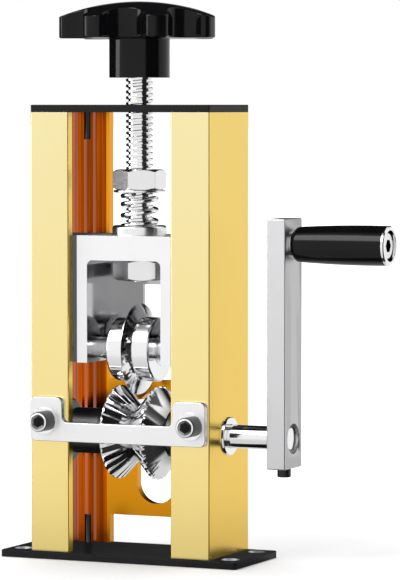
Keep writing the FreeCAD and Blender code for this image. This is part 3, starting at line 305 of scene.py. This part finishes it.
def make_gold(colours):
    """Anodised extrusion: die lines run up the column, pale with a painted sheen in front, darker with a
    painted shade at the foot, and deep orange inside with painted reflection and shade.
    """
    finish = Finish("gold_anodised")
    x, y, z = finish.axes()
    low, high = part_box("body_frame")
    lip = 0.005
    skin = 0.0001
    inner_walls_from = 0.0285
    shaded_foot = 0.09
    # Colours at the foot: the gold darkens towards the bottom, a painted shade.
    front_painted_shade_at_foot = (0.96, 0.77, 0.28, 1)
    side_painted_shade_at_foot = (0.90, 0.60, 0.08, 1)
    die_lines = finish.noise((2600, 2600, 6), 2.0)
    clouds = finish.noise((22, 22, 9), 3.0)
    painted_shade_bands = finish.spread(finish.noise((330, 330, 3), 3.0, 0.7), 0.42, 0.58)
    height = finish.spread(z, low.z, high.z)
    front = finish.blend(height, front_painted_shade_at_foot, list(colours.gold_front_painted_sheen))
    side = finish.blend(height, side_painted_shade_at_foot, list(colours.gold_side))
    # The front flanges take the paler colour, a painted sheen over the side's gold.
    outer = finish.blend(finish.above(low.y + skin, y), side, front)
    # Deep orange with darker bands on the inner walls: painted reflection and shade.
    deep = finish.blend(painted_shade_bands, darker(colours.gold_inside_painted_shade, 0.42), list(colours.gold_inside_painted_shade))
    # The panel darkens towards the foot, a painted shade.
    off_foot = finish.spread(z, low.z, low.z + shaded_foot)
    panel = finish.blend(off_foot, darker(colours.gold_panel, 0.8), list(colours.gold_panel))
    inner = finish.blend(finish.above(x.size(), inner_walls_from), panel, deep)
    within_x = finish.above(high.x - skin, x.size())
    within_y = finish.above(high.y - skin, y.size())
    behind_lips = finish.above(y, low.y + lip - skin)
    tone = finish.blend(within_x * within_y * behind_lips, outer, inner)
    finish.give("Metallic", 1.0)
    finish.give("Base Color", finish.blend(clouds * 0.08, tone, darker(colours.gold_panel, 0.9)))
    finish.give("Roughness", die_lines * 0.10 + clouds * 0.05 + 0.17)
    finish.relief(die_lines, 0.000006)
    return finish


def make_serrated(colours):
    """Bright cut teeth, with a painted shade at their roots."""
    finish = Finish("roller_steel")
    y, z = finish.axes()[1:]
    up = z - middle_of("feed_roller").z
    root_radius, crest_radius = 0.0125, 0.0175
    out_of_painted_root_shade = finish.spread((y * y + up * up).root(), root_radius, crest_radius)
    scratches = finish.noise((900, 2400, 2400), 2.0)
    # Darker chrome at the teeth's roots is a painted shade.
    tone = finish.blend(out_of_painted_root_shade, darker(colours.chrome, 0.40), list(colours.chrome))
    finish.give("Metallic", 1.0)
    finish.give("Base Color", finish.blend(scratches * 0.25, tone, darker(colours.chrome, 0.8)))
    finish.give("Roughness", scratches * 0.08 + 0.05)
    finish.relief(scratches, 0.000004)
    return finish


def make_carriage_metal(colours):
    """Satin milled block with a painted shadow on its shoulders, whose window is polished and has a painted
    shade inside.
    """
    finish = Finish("carriage_metal")
    x, y, z = finish.axes()
    low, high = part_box("carriage")
    window_half = 0.0207
    front_skin = 0.0003
    top_band = 0.0126
    painted_shadow_from = 0.0264
    in_width = finish.above(window_half, x.size())
    behind_front = finish.above(y, low.y + front_skin)
    below_band = finish.above(high.z - top_band, z)
    inside = in_width * behind_front * below_band
    milled = finish.noise((350, 350, 2600), 2.0)
    clouds = finish.noise((50, 50, 50), 4.0)
    finish.give("Metallic", 1.0)
    outside = finish.blend(clouds, darker(colours.alloy, 0.95), list(colours.alloy))
    # Inside the window the alloy is darker, a painted shade.
    window_painted_shade = finish.blend(clouds, darker(colours.alloy, 0.50), darker(colours.alloy, 0.62))
    # The shoulders' near-black colour is a painted shadow.
    shoulder = finish.above(x.size(), painted_shadow_from)
    tone = finish.blend(shoulder, outside, darker(colours.alloy, 0.12))
    finish.give("Base Color", finish.blend(inside, tone, window_painted_shade))
    satin = milled * 0.12 + clouds * 0.06 + 0.30
    finish.give("Roughness", satin * (1 - inside) + inside * 0.10)
    finish.relief(milled * (1 - inside), 0.000005)
    return finish


def make_arm_metal(colours):
    """Flat bar with lines along its length, darker on the face towards the grip with a painted shade."""
    finish = make_metal("arm_metal", colours.dull_alloy, 0.42, (2600, 2600, 120), 0.000005, 0.06)
    x = finish.axes()[0]
    skin = 0.0004
    tone = Shade(finish, finish.shader.inputs["Base Color"].links[0].from_socket)
    # The face towards the grip is darker, a painted shade.
    outer = finish.above(x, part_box("crank_arm")[1].x - skin)
    finish.give("Base Color", finish.blend(outer, tone, darker(colours.dull_alloy, 0.86)))
    return finish


def make_materials(colours):
    """Every finish by the name of the record's slot."""
    chrome = colours.chrome
    steel = colours.steel
    alloy = colours.alloy
    made = {
        "gold_anodised": make_gold(colours),
        "roller_steel": make_serrated(colours),
        "carriage_metal": make_carriage_metal(colours),
        "bright_steel": make_metal("bright_steel", chrome, 0.075, (2500, 90, 90), 0.000003),
        "blade_steel": make_metal("blade_steel", chrome, 0.08, (2800, 120, 120), 0.000002),
        "turned_steel": make_metal("turned_steel", steel, 0.24, (240, 240, 2600), 0.000003),
        "screw_steel": make_metal("screw_steel", steel, 0.10, (300, 300, 2400), 0.000003, 0.12),
        "spring_steel": make_metal("spring_steel", steel, 0.10, (900, 900, 500), 0.000003, 0.10),
        "bar_metal": make_metal("bar_metal", alloy, 0.36, (120, 900, 2600), 0.000005, 0.04),
        "arm_metal": make_arm_metal(colours),
        "brass": make_metal("brass", colours.brass, 0.22, (260, 260, 2600), 0.000004),
        "black_plate": make_plastic("black_plate", colours.black, 0.46, 0.16, 1500, 0.000006),
        "black_screw": make_plastic("black_screw", colours.black, 0.28, 0.35, 2200, 0.000005),
        "black_housing": make_plastic("black_housing", colours.black, 0.36, 0.7, 1300, 0.00001),
        "black_knob": make_plastic("black_knob", colours.gloss, 0.10, 0.20, 260, 0.000006),
        "black_grip": make_plastic("black_grip", colours.gloss, 0.14, 0.20, 300, 0.000006),
    }
    return {name: finish.material for name, finish in made.items()}


FINISHES = {}


def finish_for(slot):
    """The material of a slot, made with all the others at its first use."""
    if not FINISHES:
        FINISHES.update(make_materials(bpy.context.scene.stripper_colours))
    return FINISHES[slot]


SLOT_OF = {row["node"]: row["material_slot"] for row in frame["record"]["subparts"]}
BODY_OF = {name: body for body, names in frame["record"]["behaviour"]["bodies"].items() for name in names}


def add_piece(name, mesh, nodes, smooth=35, edge=0.0):
    """Turns a bmesh into a finished piece that stands for the CAD nodes."""
    data = bpy.data.meshes.new(name)
    mesh.to_mesh(data)
    mesh.free()
    piece = bpy.data.objects.new(name, data)
    bpy.context.scene.collection.objects.link(piece)
    slot = SLOT_OF[nodes[0]]
    data.materials.append(finish_for(slot))
    data.shade_smooth()
    data.set_sharp_from_angle(angle=math.radians(smooth))
    if edge:
        bevel = piece.modifiers.new("edge_break", "BEVEL")
        bevel.width = edge
        bevel.segments = 2
        bevel.limit_method = "ANGLE"
        bevel.angle_limit = math.radians(40)
        flat = piece.modifiers.new("flat_faces", "WEIGHTED_NORMAL")
        flat.keep_sharp = True
        flat.weight = 80
    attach(piece, BODY_OF[nodes[0]])
    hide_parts(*nodes)
    return piece


def welded(node):
    """A copy of a CAD node's mesh with its loose triangles joined and flat faces made whole."""
    mesh = bmesh.new()
    mesh.from_mesh(frame["nodes"][node].data)
    bmesh.ops.remove_doubles(mesh, verts=mesh.verts, dist=2e-6)
    bmesh.ops.dissolve_limit(mesh, angle_limit=math.radians(0.4), verts=mesh.verts, edges=mesh.edges,
                             use_dissolve_boundaries=False, delimit={"NORMAL"})
    for face in mesh.faces:
        face.material_index = 0
    return mesh


def dress(node, edge=0.0, smooth=35):
    """A smoothly shaded copy of a CAD node, with its edges broken."""
    return add_piece(node + "_finished", welded(node), [node], smooth, edge)


def middle_of(node):
    """The centre of a CAD node's box."""
    low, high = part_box(node)
    return (low + high) / 2


def turned(profile):
    """A bmesh turned about Z from a closed profile of radius and height."""
    mesh = bmesh.new()
    corners = [mesh.verts.new((radius, 0, height)) for radius, height in profile]
    edges = [mesh.edges.new((corners[index - 1], corners[index])) for index in range(len(corners))]
    bmesh.ops.spin(mesh, geom=corners + edges, cent=(0, 0, 0), axis=(0, 0, 1), angle=2 * math.pi,
                   steps=64, use_merge=True, use_duplicate=False)
    bmesh.ops.remove_doubles(mesh, verts=mesh.verts, dist=1e-6)
    bmesh.ops.recalc_face_normals(mesh, faces=mesh.faces)
    return mesh


def cap_head(radius, height, key, key_depth, segments, knurl, shank):
    """A socket screw whose head stands on the origin. The shank below it is a radius and a length."""
    mesh = bmesh.new()
    bare = mesh.faces.layers.float.new("bare")
    made = bmesh.ops.create_circle(mesh, cap_ends=True, segments=segments, radius=radius)
    base = made["verts"][0].link_faces[0]
    raised = bmesh.ops.extrude_face_region(mesh, geom=[base], use_keep_orig=True)["geom"]
    top_verts = [part for part in raised if isinstance(part, bmesh.types.BMVert)]
    bmesh.ops.translate(mesh, verts=top_verts, vec=(0, 0, height))
    top = next(part for part in raised if isinstance(part, bmesh.types.BMFace))
    chamfer = radius * 0.08
    rim = radius - chamfer / 2
    bmesh.ops.inset_individual(mesh, faces=[top], thickness=chamfer, depth=0.0)
    upper_rim = [vert for vert in mesh.verts if vert.co.z > height / 2 and vert.co.xy.length > rim]
    bmesh.ops.translate(mesh, verts=upper_rim, vec=(0, 0, -chamfer))
    land_width = radius - chamfer - key / 1.6
    # The land round the socket is marked bare metal, partly a painted highlight.
    land = bmesh.ops.inset_individual(mesh, faces=[top], thickness=land_width, depth=0.0)
    for face in land["faces"]:
        face[bare] = 1.0
    for vert in top.verts:
        turn = math.atan2(vert.co.y, vert.co.x)
        off = (turn + HEX / 2) % HEX - HEX / 2
        reach = key / 2 / math.cos(off)
        vert.co.xy = Vector((math.cos(turn), math.sin(turn))) * reach
    sunk = bmesh.ops.extrude_face_region(mesh, geom=[top])["geom"]
    floor = [part for part in sunk if isinstance(part, bmesh.types.BMVert)]
    bmesh.ops.translate(mesh, verts=floor, vec=(0, 0, -key_depth))
    for vert in floor:
        for face in vert.link_faces:
            face[bare] = 0.0
    if knurl:
        for vert in mesh.verts:
            if vert.co.xy.length > rim:
                turn = math.atan2(vert.co.y, vert.co.x)
                if round(turn / (2 * math.pi / segments)) % 2:
                    vert.co.xy *= 1 - knurl / radius
    thickness, length = shank
    made = bmesh.ops.create_cone(mesh, cap_ends=True, segments=24, radius1=thickness, radius2=thickness,
                                 depth=length)
    bmesh.ops.translate(mesh, verts=made["verts"], vec=(0, 0, -length / 2))
    bmesh.ops.recalc_face_normals(mesh, faces=mesh.faces)
    return mesh


def placed(mesh, spots, turn):
    """Copies of a bmesh, turned and put at each of the spots, as one bmesh."""
    data = bpy.data.meshes.new("pattern")
    mesh.to_mesh(data)
    mesh.free()
    whole = bmesh.new()
    for spot in spots:
        before = len(whole.verts)
        whole.from_mesh(data)
        whole.verts.ensure_lookup_table()
        bmesh.ops.transform(whole, matrix=Matrix.Translation(spot) @ turn, verts=whole.verts[before:])
    bpy.data.meshes.remove(data)
    return whole


class StripperOperator(bpy.types.Operator):
    """What every step shares"""
    bl_options = {"REGISTER", "UNDO"}

    @property
    def sizes(self):
        return bpy.context.scene.stripper_sizes


class STRIPPER_OT_column(StripperOperator):
    """Gold column frame with its die lines and broken edges"""
    bl_idname = "stripper.column"
    bl_label = "Column frame"

    def execute(self, context):
        column = dress("body_frame", self.sizes.edge_break, 30)
        column.visible_glossy = False
        return {"FINISHED"}


class STRIPPER_OT_plates(StripperOperator):
    """Black base and top plates with their countersunk screws and the bush of the screw"""
    bl_idname = "stripper.plates"
    bl_label = "Plates"

    def execute(self, context):
        plate = welded("base_plate")
        bare = plate.faces.layers.float.new("bare")
        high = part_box("base_plate")[1]
        hole_from_end, hole_from_middle, countersink = 0.00775, 0.017, 0.0055
        # The countersinks' sloping faces are marked bare metal, partly a painted highlight on their rims.
        for face in plate.faces:
            spot = face.calc_center_median()
            along = abs(spot.x) - high.x + hole_from_end
            across = abs(spot.y) - hole_from_middle
            sloping = 0.2 < abs(face.normal.z) < 0.95
            if sloping and math.hypot(along, across) < countersink:
                face[bare] = 1.0
        add_piece("base_plate_finished", plate, ["base_plate"], 30, self.sizes.edge_break)
        dress("top_plate", self.sizes.edge_break, 30)
        for node in ("base_screws", "top_plate_screws", "screw_bush"):
            dress(node)
        return {"FINISHED"}


class STRIPPER_OT_guide_bar(StripperOperator):
    """Guide bar with its washers and two knurled socket screws"""
    bl_idname = "stripper.guide_bar"
    bl_label = "Guide bar"

    def execute(self, context):
        dress("front_bar", self.sizes.edge_break)
        dress("front_bar_washers", self.sizes.edge_break / 2)
        low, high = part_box("front_bar_screws")
        radius = (high.z - low.z) / 2
        level = (high.z + low.z) / 2
        tall = self.sizes.cap_height
        seat = low.y + tall
        key, key_depth, segments = 0.005, 0.0045, 72
        shank = (0.003, high.y - seat)
        head = cap_head(radius, tall, key, key_depth, segments, self.sizes.knurl, shank)
        spots = [(side * (high.x - radius), seat, level) for side in (-1, 1)]
        add_piece("guide_bar_screws", placed(head, spots, FACING), ["front_bar_screws"])
        return {"FINISHED"}


class STRIPPER_OT_knob(StripperOperator):
    """Glossy star knob with its brass insert"""
    bl_idname = "stripper.knob"
    bl_label = "Star knob"

    def execute(self, context):
        dress("knob", 0.0, 40)
        dress("knob_insert")
        return {"FINISHED"}


class STRIPPER_OT_lead_screw(StripperOperator):
    """Lead screw with a cut trapezoidal thread, and its two nuts"""
    bl_idname = "stripper.lead_screw"
    bl_label = "Lead screw and nuts"

    def execute(self, context):
        low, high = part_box("lead_screw")
        radius = (high.x - low.x) / 2
        pitch = self.sizes.thread_pitch
        root = radius - self.sizes.thread_depth
        end_radius = root - 0.0003
        mesh = bmesh.new()
        start = low.z - pitch
        profile = [(root, 0.0), (root, 0.36), (radius, 0.5), (radius, 0.86), (root, 1.0)]
        corners = [mesh.verts.new((reach, 0, start + share * pitch)) for reach, share in profile]
        edges = [mesh.edges.new(pair) for pair in zip(corners, corners[1:])]
        turns = math.ceil((high.z - low.z) / pitch) + 2
        steps = 40
        bmesh.ops.spin(mesh, geom=corners + edges, cent=(0, 0, 0), axis=(0, 0, 1),
                       dvec=(0, 0, pitch / steps), angle=2 * math.pi * turns, steps=steps * turns,
                       use_merge=False, use_duplicate=False)
        bmesh.ops.remove_doubles(mesh, verts=mesh.verts, dist=1e-6)
        for level, way in ((low.z, -1), (high.z, 1)):
            cut = bmesh.ops.bisect_plane(mesh, geom=mesh.verts[:] + mesh.edges[:] + mesh.faces[:],
                                         plane_co=(0, 0, level), plane_no=(0, 0, way), clear_outer=True)
            rim = [part for part in cut["geom_cut"] if isinstance(part, bmesh.types.BMEdge)]
            bmesh.ops.edgeloop_fill(mesh, edges=rim)
        for vert in mesh.verts:
            limit = end_radius + vert.co.z - low.z
            if vert.co.xy.length > limit:
                vert.co.xy *= limit / vert.co.xy.length
        bmesh.ops.recalc_face_normals(mesh, faces=mesh.faces)
        add_piece("threaded_screw", mesh, ["lead_screw"], 25)
        for node in ("upper_nut", "lower_nut"):
            dress(node, self.sizes.edge_break * 1.5, 25)
        return {"FINISHED"}


class STRIPPER_OT_spring(StripperOperator):
    """Coil spring between its washer and its cup"""
    bl_idname = "stripper.spring"
    bl_label = "Spring, washer and cup"

    def execute(self, context):
        wire = self.sizes.spring_wire
        low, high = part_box("spring")
        radius = (high.x - low.x) / 2 - wire / 2
        steps = 20
        end_turns = 0.75
        middle_turns = 2.25
        bottom = low.z + wire / 2
        top = high.z - wire / 2
        end_rise = end_turns * self.sizes.spring_end_pitch
        mesh = bmesh.new()
        bmesh.ops.create_circle(mesh, cap_ends=False, segments=16, radius=wire / 2)
        bmesh.ops.transform(mesh, matrix=Matrix.Translation((radius, 0, bottom)) @ FACING, verts=mesh.verts)
        ring = mesh.verts[:] + mesh.edges[:]
        rows = [(end_turns, end_rise), (middle_turns, top - bottom - 2 * end_rise), (end_turns, end_rise)]
        for turns, rise in rows:
            count = round(steps * turns)
            swept = bmesh.ops.spin(mesh, geom=ring, cent=(0, 0, 0), axis=(0, 0, 1), angle=2 * math.pi * turns,
                                   dvec=(0, 0, rise / count), steps=count, use_merge=False,
                                   use_duplicate=False)
            ring = swept["geom_last"]
        bmesh.ops.remove_doubles(mesh, verts=mesh.verts, dist=1e-6)
        ends = [edge for edge in mesh.edges if edge.is_boundary]
        bmesh.ops.holes_fill(mesh, edges=ends, sides=16)
        bmesh.ops.recalc_face_normals(mesh, faces=mesh.faces)
        coil = add_piece("coil_spring", mesh, ["spring"], 50)
        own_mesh(coil)
        dress("spring_washer", self.sizes.edge_break)
        dress("spring_cup", self.sizes.edge_break / 2)
        return {"FINISHED"}


class STRIPPER_OT_carriage(StripperOperator):
    """Sliding carriage with the blade's axle, spacers and grub screws"""
    bl_idname = "stripper.carriage"
    bl_label = "Carriage"

    def execute(self, context):
        dress("carriage", self.sizes.edge_break, 30)
        for node in ("blade_axle", "axle_spacers", "axle_grub_screws"):
            dress(node)
        return {"FINISHED"}


class STRIPPER_OT_blade(StripperOperator):
    """Round blade between its drum halves, with shielded bearings in their ends"""
    bl_idname = "stripper.blade"
    bl_label = "Blade and drum"

    def execute(self, context):
        dress("blade", 0.0, 20)
        for side in ("left", "right"):
            dress("blade_drum_" + side, self.sizes.edge_break / 2)
            node = "blade_bearing_" + side
            low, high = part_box(node)
            outer = (high.z - low.z) / 2
            width = high.x - low.x
            bore = outer * 0.5062
            face = width / 2
            corner, rim, shield_gap, sunk = 0.0002, 0.0012, 0.0001, 0.0004
            edge = rim + shield_gap
            half = [(bore, 0), (bore, face - corner), (bore + corner, face), (bore + rim, face),
                    (bore + edge, face - sunk), (outer - edge, face - sunk), (outer - rim, face),
                    (outer - corner, face), (outer, face - corner), (outer, 0)]
            profile = half + [(reach, -height) for reach, height in reversed(half[1:-1])]
            ring = turned(profile)
            bmesh.ops.transform(ring, matrix=Matrix.Translation(middle_of(node)) @ LYING, verts=ring.verts)
            add_piece("shielded_bearing_" + side, ring, [node])
        return {"FINISHED"}


class STRIPPER_OT_roller(StripperOperator):
    """Serrated feed roller with its shaft, key, sleeves and clip"""
    bl_idname = "stripper.roller"
    bl_label = "Feed roller and shaft"

    def execute(self, context):
        dress("feed_roller", 0.0, 18)
        for node in ("drive_shaft", "roller_key", "shaft_clip"):
            dress(node)
        for side in ("left", "right"):
            dress("shaft_sleeve_" + side, self.sizes.edge_break)
        return {"FINISHED"}


class STRIPPER_OT_housings(StripperOperator):
    """Bearing housings, their socket screws and the flanged bushes in the walls"""
    bl_idname = "stripper.housings"
    bl_label = "Bearing housings"

    def execute(self, context):
        radius, tall, key, key_depth, segments, knurl = 0.00275, 0.0018, 0.002, 0.0012, 24, 0.0
        circle = 0.0123
        for side, turn in (("left", LYING), ("right", LYING @ HANGING)):
            dress("bearing_housing_" + side, self.sizes.edge_break)
            dress("wall_bush_" + side, self.sizes.edge_break / 2)
            node = "housing_screws_" + side
            low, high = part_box(node)
            face = high.x - tall if side == "left" else low.x + tall
            centre = middle_of("bearing_housing_" + side)
            ways = [math.radians(angle) for angle in (0, 120, 240)]
            spots = [(face, centre.y + circle * math.cos(way), centre.z + circle * math.sin(way))
                     for way in ways]
            shank = (0.0015, high.x - low.x - tall)
            head = cap_head(radius, tall, key, key_depth, segments, knurl, shank)
            add_piece("housing_socket_screws_" + side, placed(head, spots, turn), [node])
        return {"FINISHED"}


class STRIPPER_OT_crank(StripperOperator):
    """Crank arm with its clamp screw, and the grip on its shoulder bolt"""
    bl_idname = "stripper.crank"
    bl_label = "Crank and grip"

    def execute(self, context):
        dress("crank_arm", 0.0, 30)
        low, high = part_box("crank_clamp_screw")
        radius = (high.x - low.x) / 2
        tall, key, key_depth, segments, knurl = 0.0045, 0.003, 0.002, 48, 0.0001
        shank = (0.002, high.z - low.z - tall)
        centre = middle_of("crank_clamp_screw")
        head = cap_head(radius, tall, key, key_depth, segments, knurl, shank)
        spot = (centre.x, centre.y, low.z + tall)
        add_piece("clamp_socket_screw", placed(head, [spot], HANGING), ["crank_clamp_screw"])
        dress("handle_grip", 0.0, 40)
        for node in ("handle_washer", "handle_end_ring"):
            dress(node, self.sizes.edge_break / 3)
        bolt = welded("handle_bolt")
        # The faces inside the bolt's socket are marked for a painted shade.
        socket = bolt.faces.layers.float.new("socket")
        axis = middle_of("handle_bolt")
        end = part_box("handle_bolt")[1].x
        socket_reach, socket_depth, rim_skin = 0.0032, 0.006, 0.0001
        for face in bolt.faces:
            spot = face.calc_center_median()
            near = math.hypot(spot.y - axis.y, spot.z - axis.z) < socket_reach
            if near and end - socket_depth < spot.x < end - rim_skin:
                face[socket] = 1.0
        add_piece("handle_bolt_finished", bolt, ["handle_bolt"], 35, self.sizes.edge_break / 3)
        return {"FINISHED"}


class STRIPPER_OT_studio(StripperOperator):
    """White floor, a room with dark flags for the chrome, soft lamps and the camera"""
    bl_idname = "stripper.studio"
    bl_label = "Studio"

    def execute(self, context):
        scene = context.scene
        scene.view_settings.view_transform = "Standard"
        self.lay_floor()
        self.light_world(scene)
        self.hang_lamps(scene)
        self.aim_camera(scene)
        return {"FINISHED"}

    def lay_floor(self):
        """Takes shadow near the object, glows white further out, and shows the flags in reflections."""
        mesh = bmesh.new()
        bmesh.ops.create_grid(mesh, x_segments=1, y_segments=1, size=FLOOR_REACH)
        bmesh.ops.translate(mesh, verts=mesh.verts, vec=(0, 0, -FLOOR_DROP))
        data = bpy.data.meshes.new("floor")
        mesh.to_mesh(data)
        mesh.free()
        floor = bpy.data.objects.new("floor", data)
        bpy.context.scene.collection.objects.link(floor)
        finish = Finish("white_floor")
        x, y = finish.axes()[:2]
        away = (x * x + y * y).root()
        plain = finish.spread(away, 0.13, 0.40) * 0.95 + 0.05
        glow = finish.node("ShaderNodeEmission", {}, {"Color": WHITE, "Strength": FLOOR_GLOW})
        matt = finish.node("ShaderNodeBsdfDiffuse", {}, {"Color": FLOOR_WHITE})
        here = finish.node("ShaderNodeTexCoord", output="Object")
        open_floor = finish.spread(away, 0.10, 0.35) * 0.25 + 0.72
        bright = open_floor * (1 - self.flags(finish, here) * 0.96)
        mirrored = finish.node("ShaderNodeEmission", {}, {"Color": WHITE, "Strength": bright})
        share = plain * finish.ray("Is Camera Ray")
        seen = finish.node("ShaderNodeMixShader", {}, {0: share, 1: matt, 2: glow})
        shiny = finish.ray("Is Glossy Ray")
        finish.show(finish.node("ShaderNodeMixShader", {}, {0: shiny, 1: seen, 2: mirrored}))
        data.materials.append(finish.material)

    def towards(self, tree, way, heading):
        """How far a direction points to a heading: 1 straight at it, -1 away from it."""
        turn = math.radians(heading)
        aim = (math.cos(turn), math.sin(turn), 0)
        return tree.node("ShaderNodeVectorMath", {"operation": "DOT_PRODUCT"}, {0: way, 1: aim}, 1)

    def flags(self, tree, way):
        """1 in the headings of the dark flags that chrome reflects, 0 elsewhere."""
        flat = tree.node("ShaderNodeVectorMath", {"operation": "MULTIPLY"}, {0: way, 1: (1, 1, 0)})
        level = tree.node("ShaderNodeVectorMath", {"operation": "NORMALIZE"}, {0: flat})
        shade = 0.0
        for heading, half_width in FLAGS:
            edge = math.cos(math.radians(half_width + FLAG_BLUR))
            core = math.cos(math.radians(half_width - FLAG_BLUR))
            shade = tree.spread(self.towards(tree, level, heading), edge, core) + shade
        return shade

    def light_world(self, scene):
        """White to the camera. Reflections see dark flags, and dark overhead and high up behind."""
        world = bpy.data.worlds.new("white_world")
        world.use_nodes = True
        scene.world = world
        room = NodeTree(world.node_tree)
        way = room.node("ShaderNodeTexCoord", output="Generated")
        up = room.node("ShaderNodeSeparateXYZ", {}, {0: way}, output=2)
        overhead = room.spread(up, 0.84, 0.94)
        rear = room.spread(self.towards(room, way, REAR_HEADING), 0.25, 0.6) * room.spread(up, 0.05, 0.2)
        shade = overhead.or_more(self.flags(room, way)).or_more(rear)
        shiny = room.ray("Is Glossy Ray")
        camera = room.ray("Is Camera Ray")
        clear = room.ray("Is Transmission Ray")
        others = (1 - shiny) * (1 - camera) * (1 - clear)
        mirrored = shiny * (MIRRORED_WHITE - shade * MIRRORED_DEPTH)
        strength = mirrored + camera + clear + others * LIGHT_OF_ROOM
        room.show(room.node("ShaderNodeBackground", {}, {"Color": WHITE, "Strength": strength}))

    def hang_lamps(self, scene):
        """Soft lamps aimed at the object's middle."""
        for name, spot, wide, tall, level, mirrored in LAMPS:
            data = bpy.data.lights.new(name, "AREA")
            data.shape = "RECTANGLE"
            data.size = wide
            data.size_y = tall
            data.energy = level * math.pi * wide * tall
            lamp = bpy.data.objects.new(name, data)
            lamp.location = spot
            lamp.rotation_euler = (LAMPS_AIM - Vector(spot)).to_track_quat("-Z", "Y").to_euler()
            lamp.visible_glossy = mirrored
            scene.collection.objects.link(lamp)

    def aim_camera(self, scene):
        """The photo's view, from the front right and slightly above."""
        data = bpy.data.cameras.new("camera")
        data.lens = CAMERA_LENS
        camera = bpy.data.objects.new("camera", data)
        camera.location = CAMERA_PLACE
        look = Vector((-0.409, 0.9125, -math.tan(CAMERA_DIP)))
        camera.rotation_euler = look.to_track_quat("-Z", "Y").to_euler()
        scene.collection.objects.link(camera)
        scene.camera = camera


class STRIPPER_PT_panel(bpy.types.Panel):
    """Lists the steps, sizes and colours in the sidebar"""
    bl_label = "Wire stripper"
    bl_idname = "STRIPPER_PT_panel"
    bl_space_type = "VIEW_3D"
    bl_region_type = "UI"
    bl_category = "Stripper"

    def draw(self, context):
        for operator in STEPS:
            self.layout.operator(operator.bl_idname)
        for group in (context.scene.stripper_sizes, context.scene.stripper_colours):
            for name in group.__annotations__:
                self.layout.prop(group, name)


STEPS = (
    STRIPPER_OT_column, STRIPPER_OT_plates, STRIPPER_OT_guide_bar, STRIPPER_OT_knob,
    STRIPPER_OT_lead_screw, STRIPPER_OT_spring, STRIPPER_OT_carriage, STRIPPER_OT_blade,
    STRIPPER_OT_roller, STRIPPER_OT_housings, STRIPPER_OT_crank, STRIPPER_OT_studio,
)
CLASSES = (StripperSizes, StripperColours) + STEPS + (STRIPPER_PT_panel,)


def register():
    """Adds the classes, and the sizes and colours of the scene."""
    for kind in CLASSES:
        bpy.utils.register_class(kind)
    bpy.types.Scene.stripper_sizes = bpy.props.PointerProperty(type=StripperSizes)
    bpy.types.Scene.stripper_colours = bpy.props.PointerProperty(type=StripperColours)


def unregister():
    """Takes away what register added."""
    del bpy.types.Scene.stripper_colours
    del bpy.types.Scene.stripper_sizes
    for kind in reversed(CLASSES):
        bpy.utils.unregister_class(kind)


def main():
    """Runs every step."""
    register()
    for operator in STEPS:
        group, step = operator.bl_idname.split(".")
        getattr(getattr(bpy.ops, group), step)()


if __name__ == "__main__":
    main()
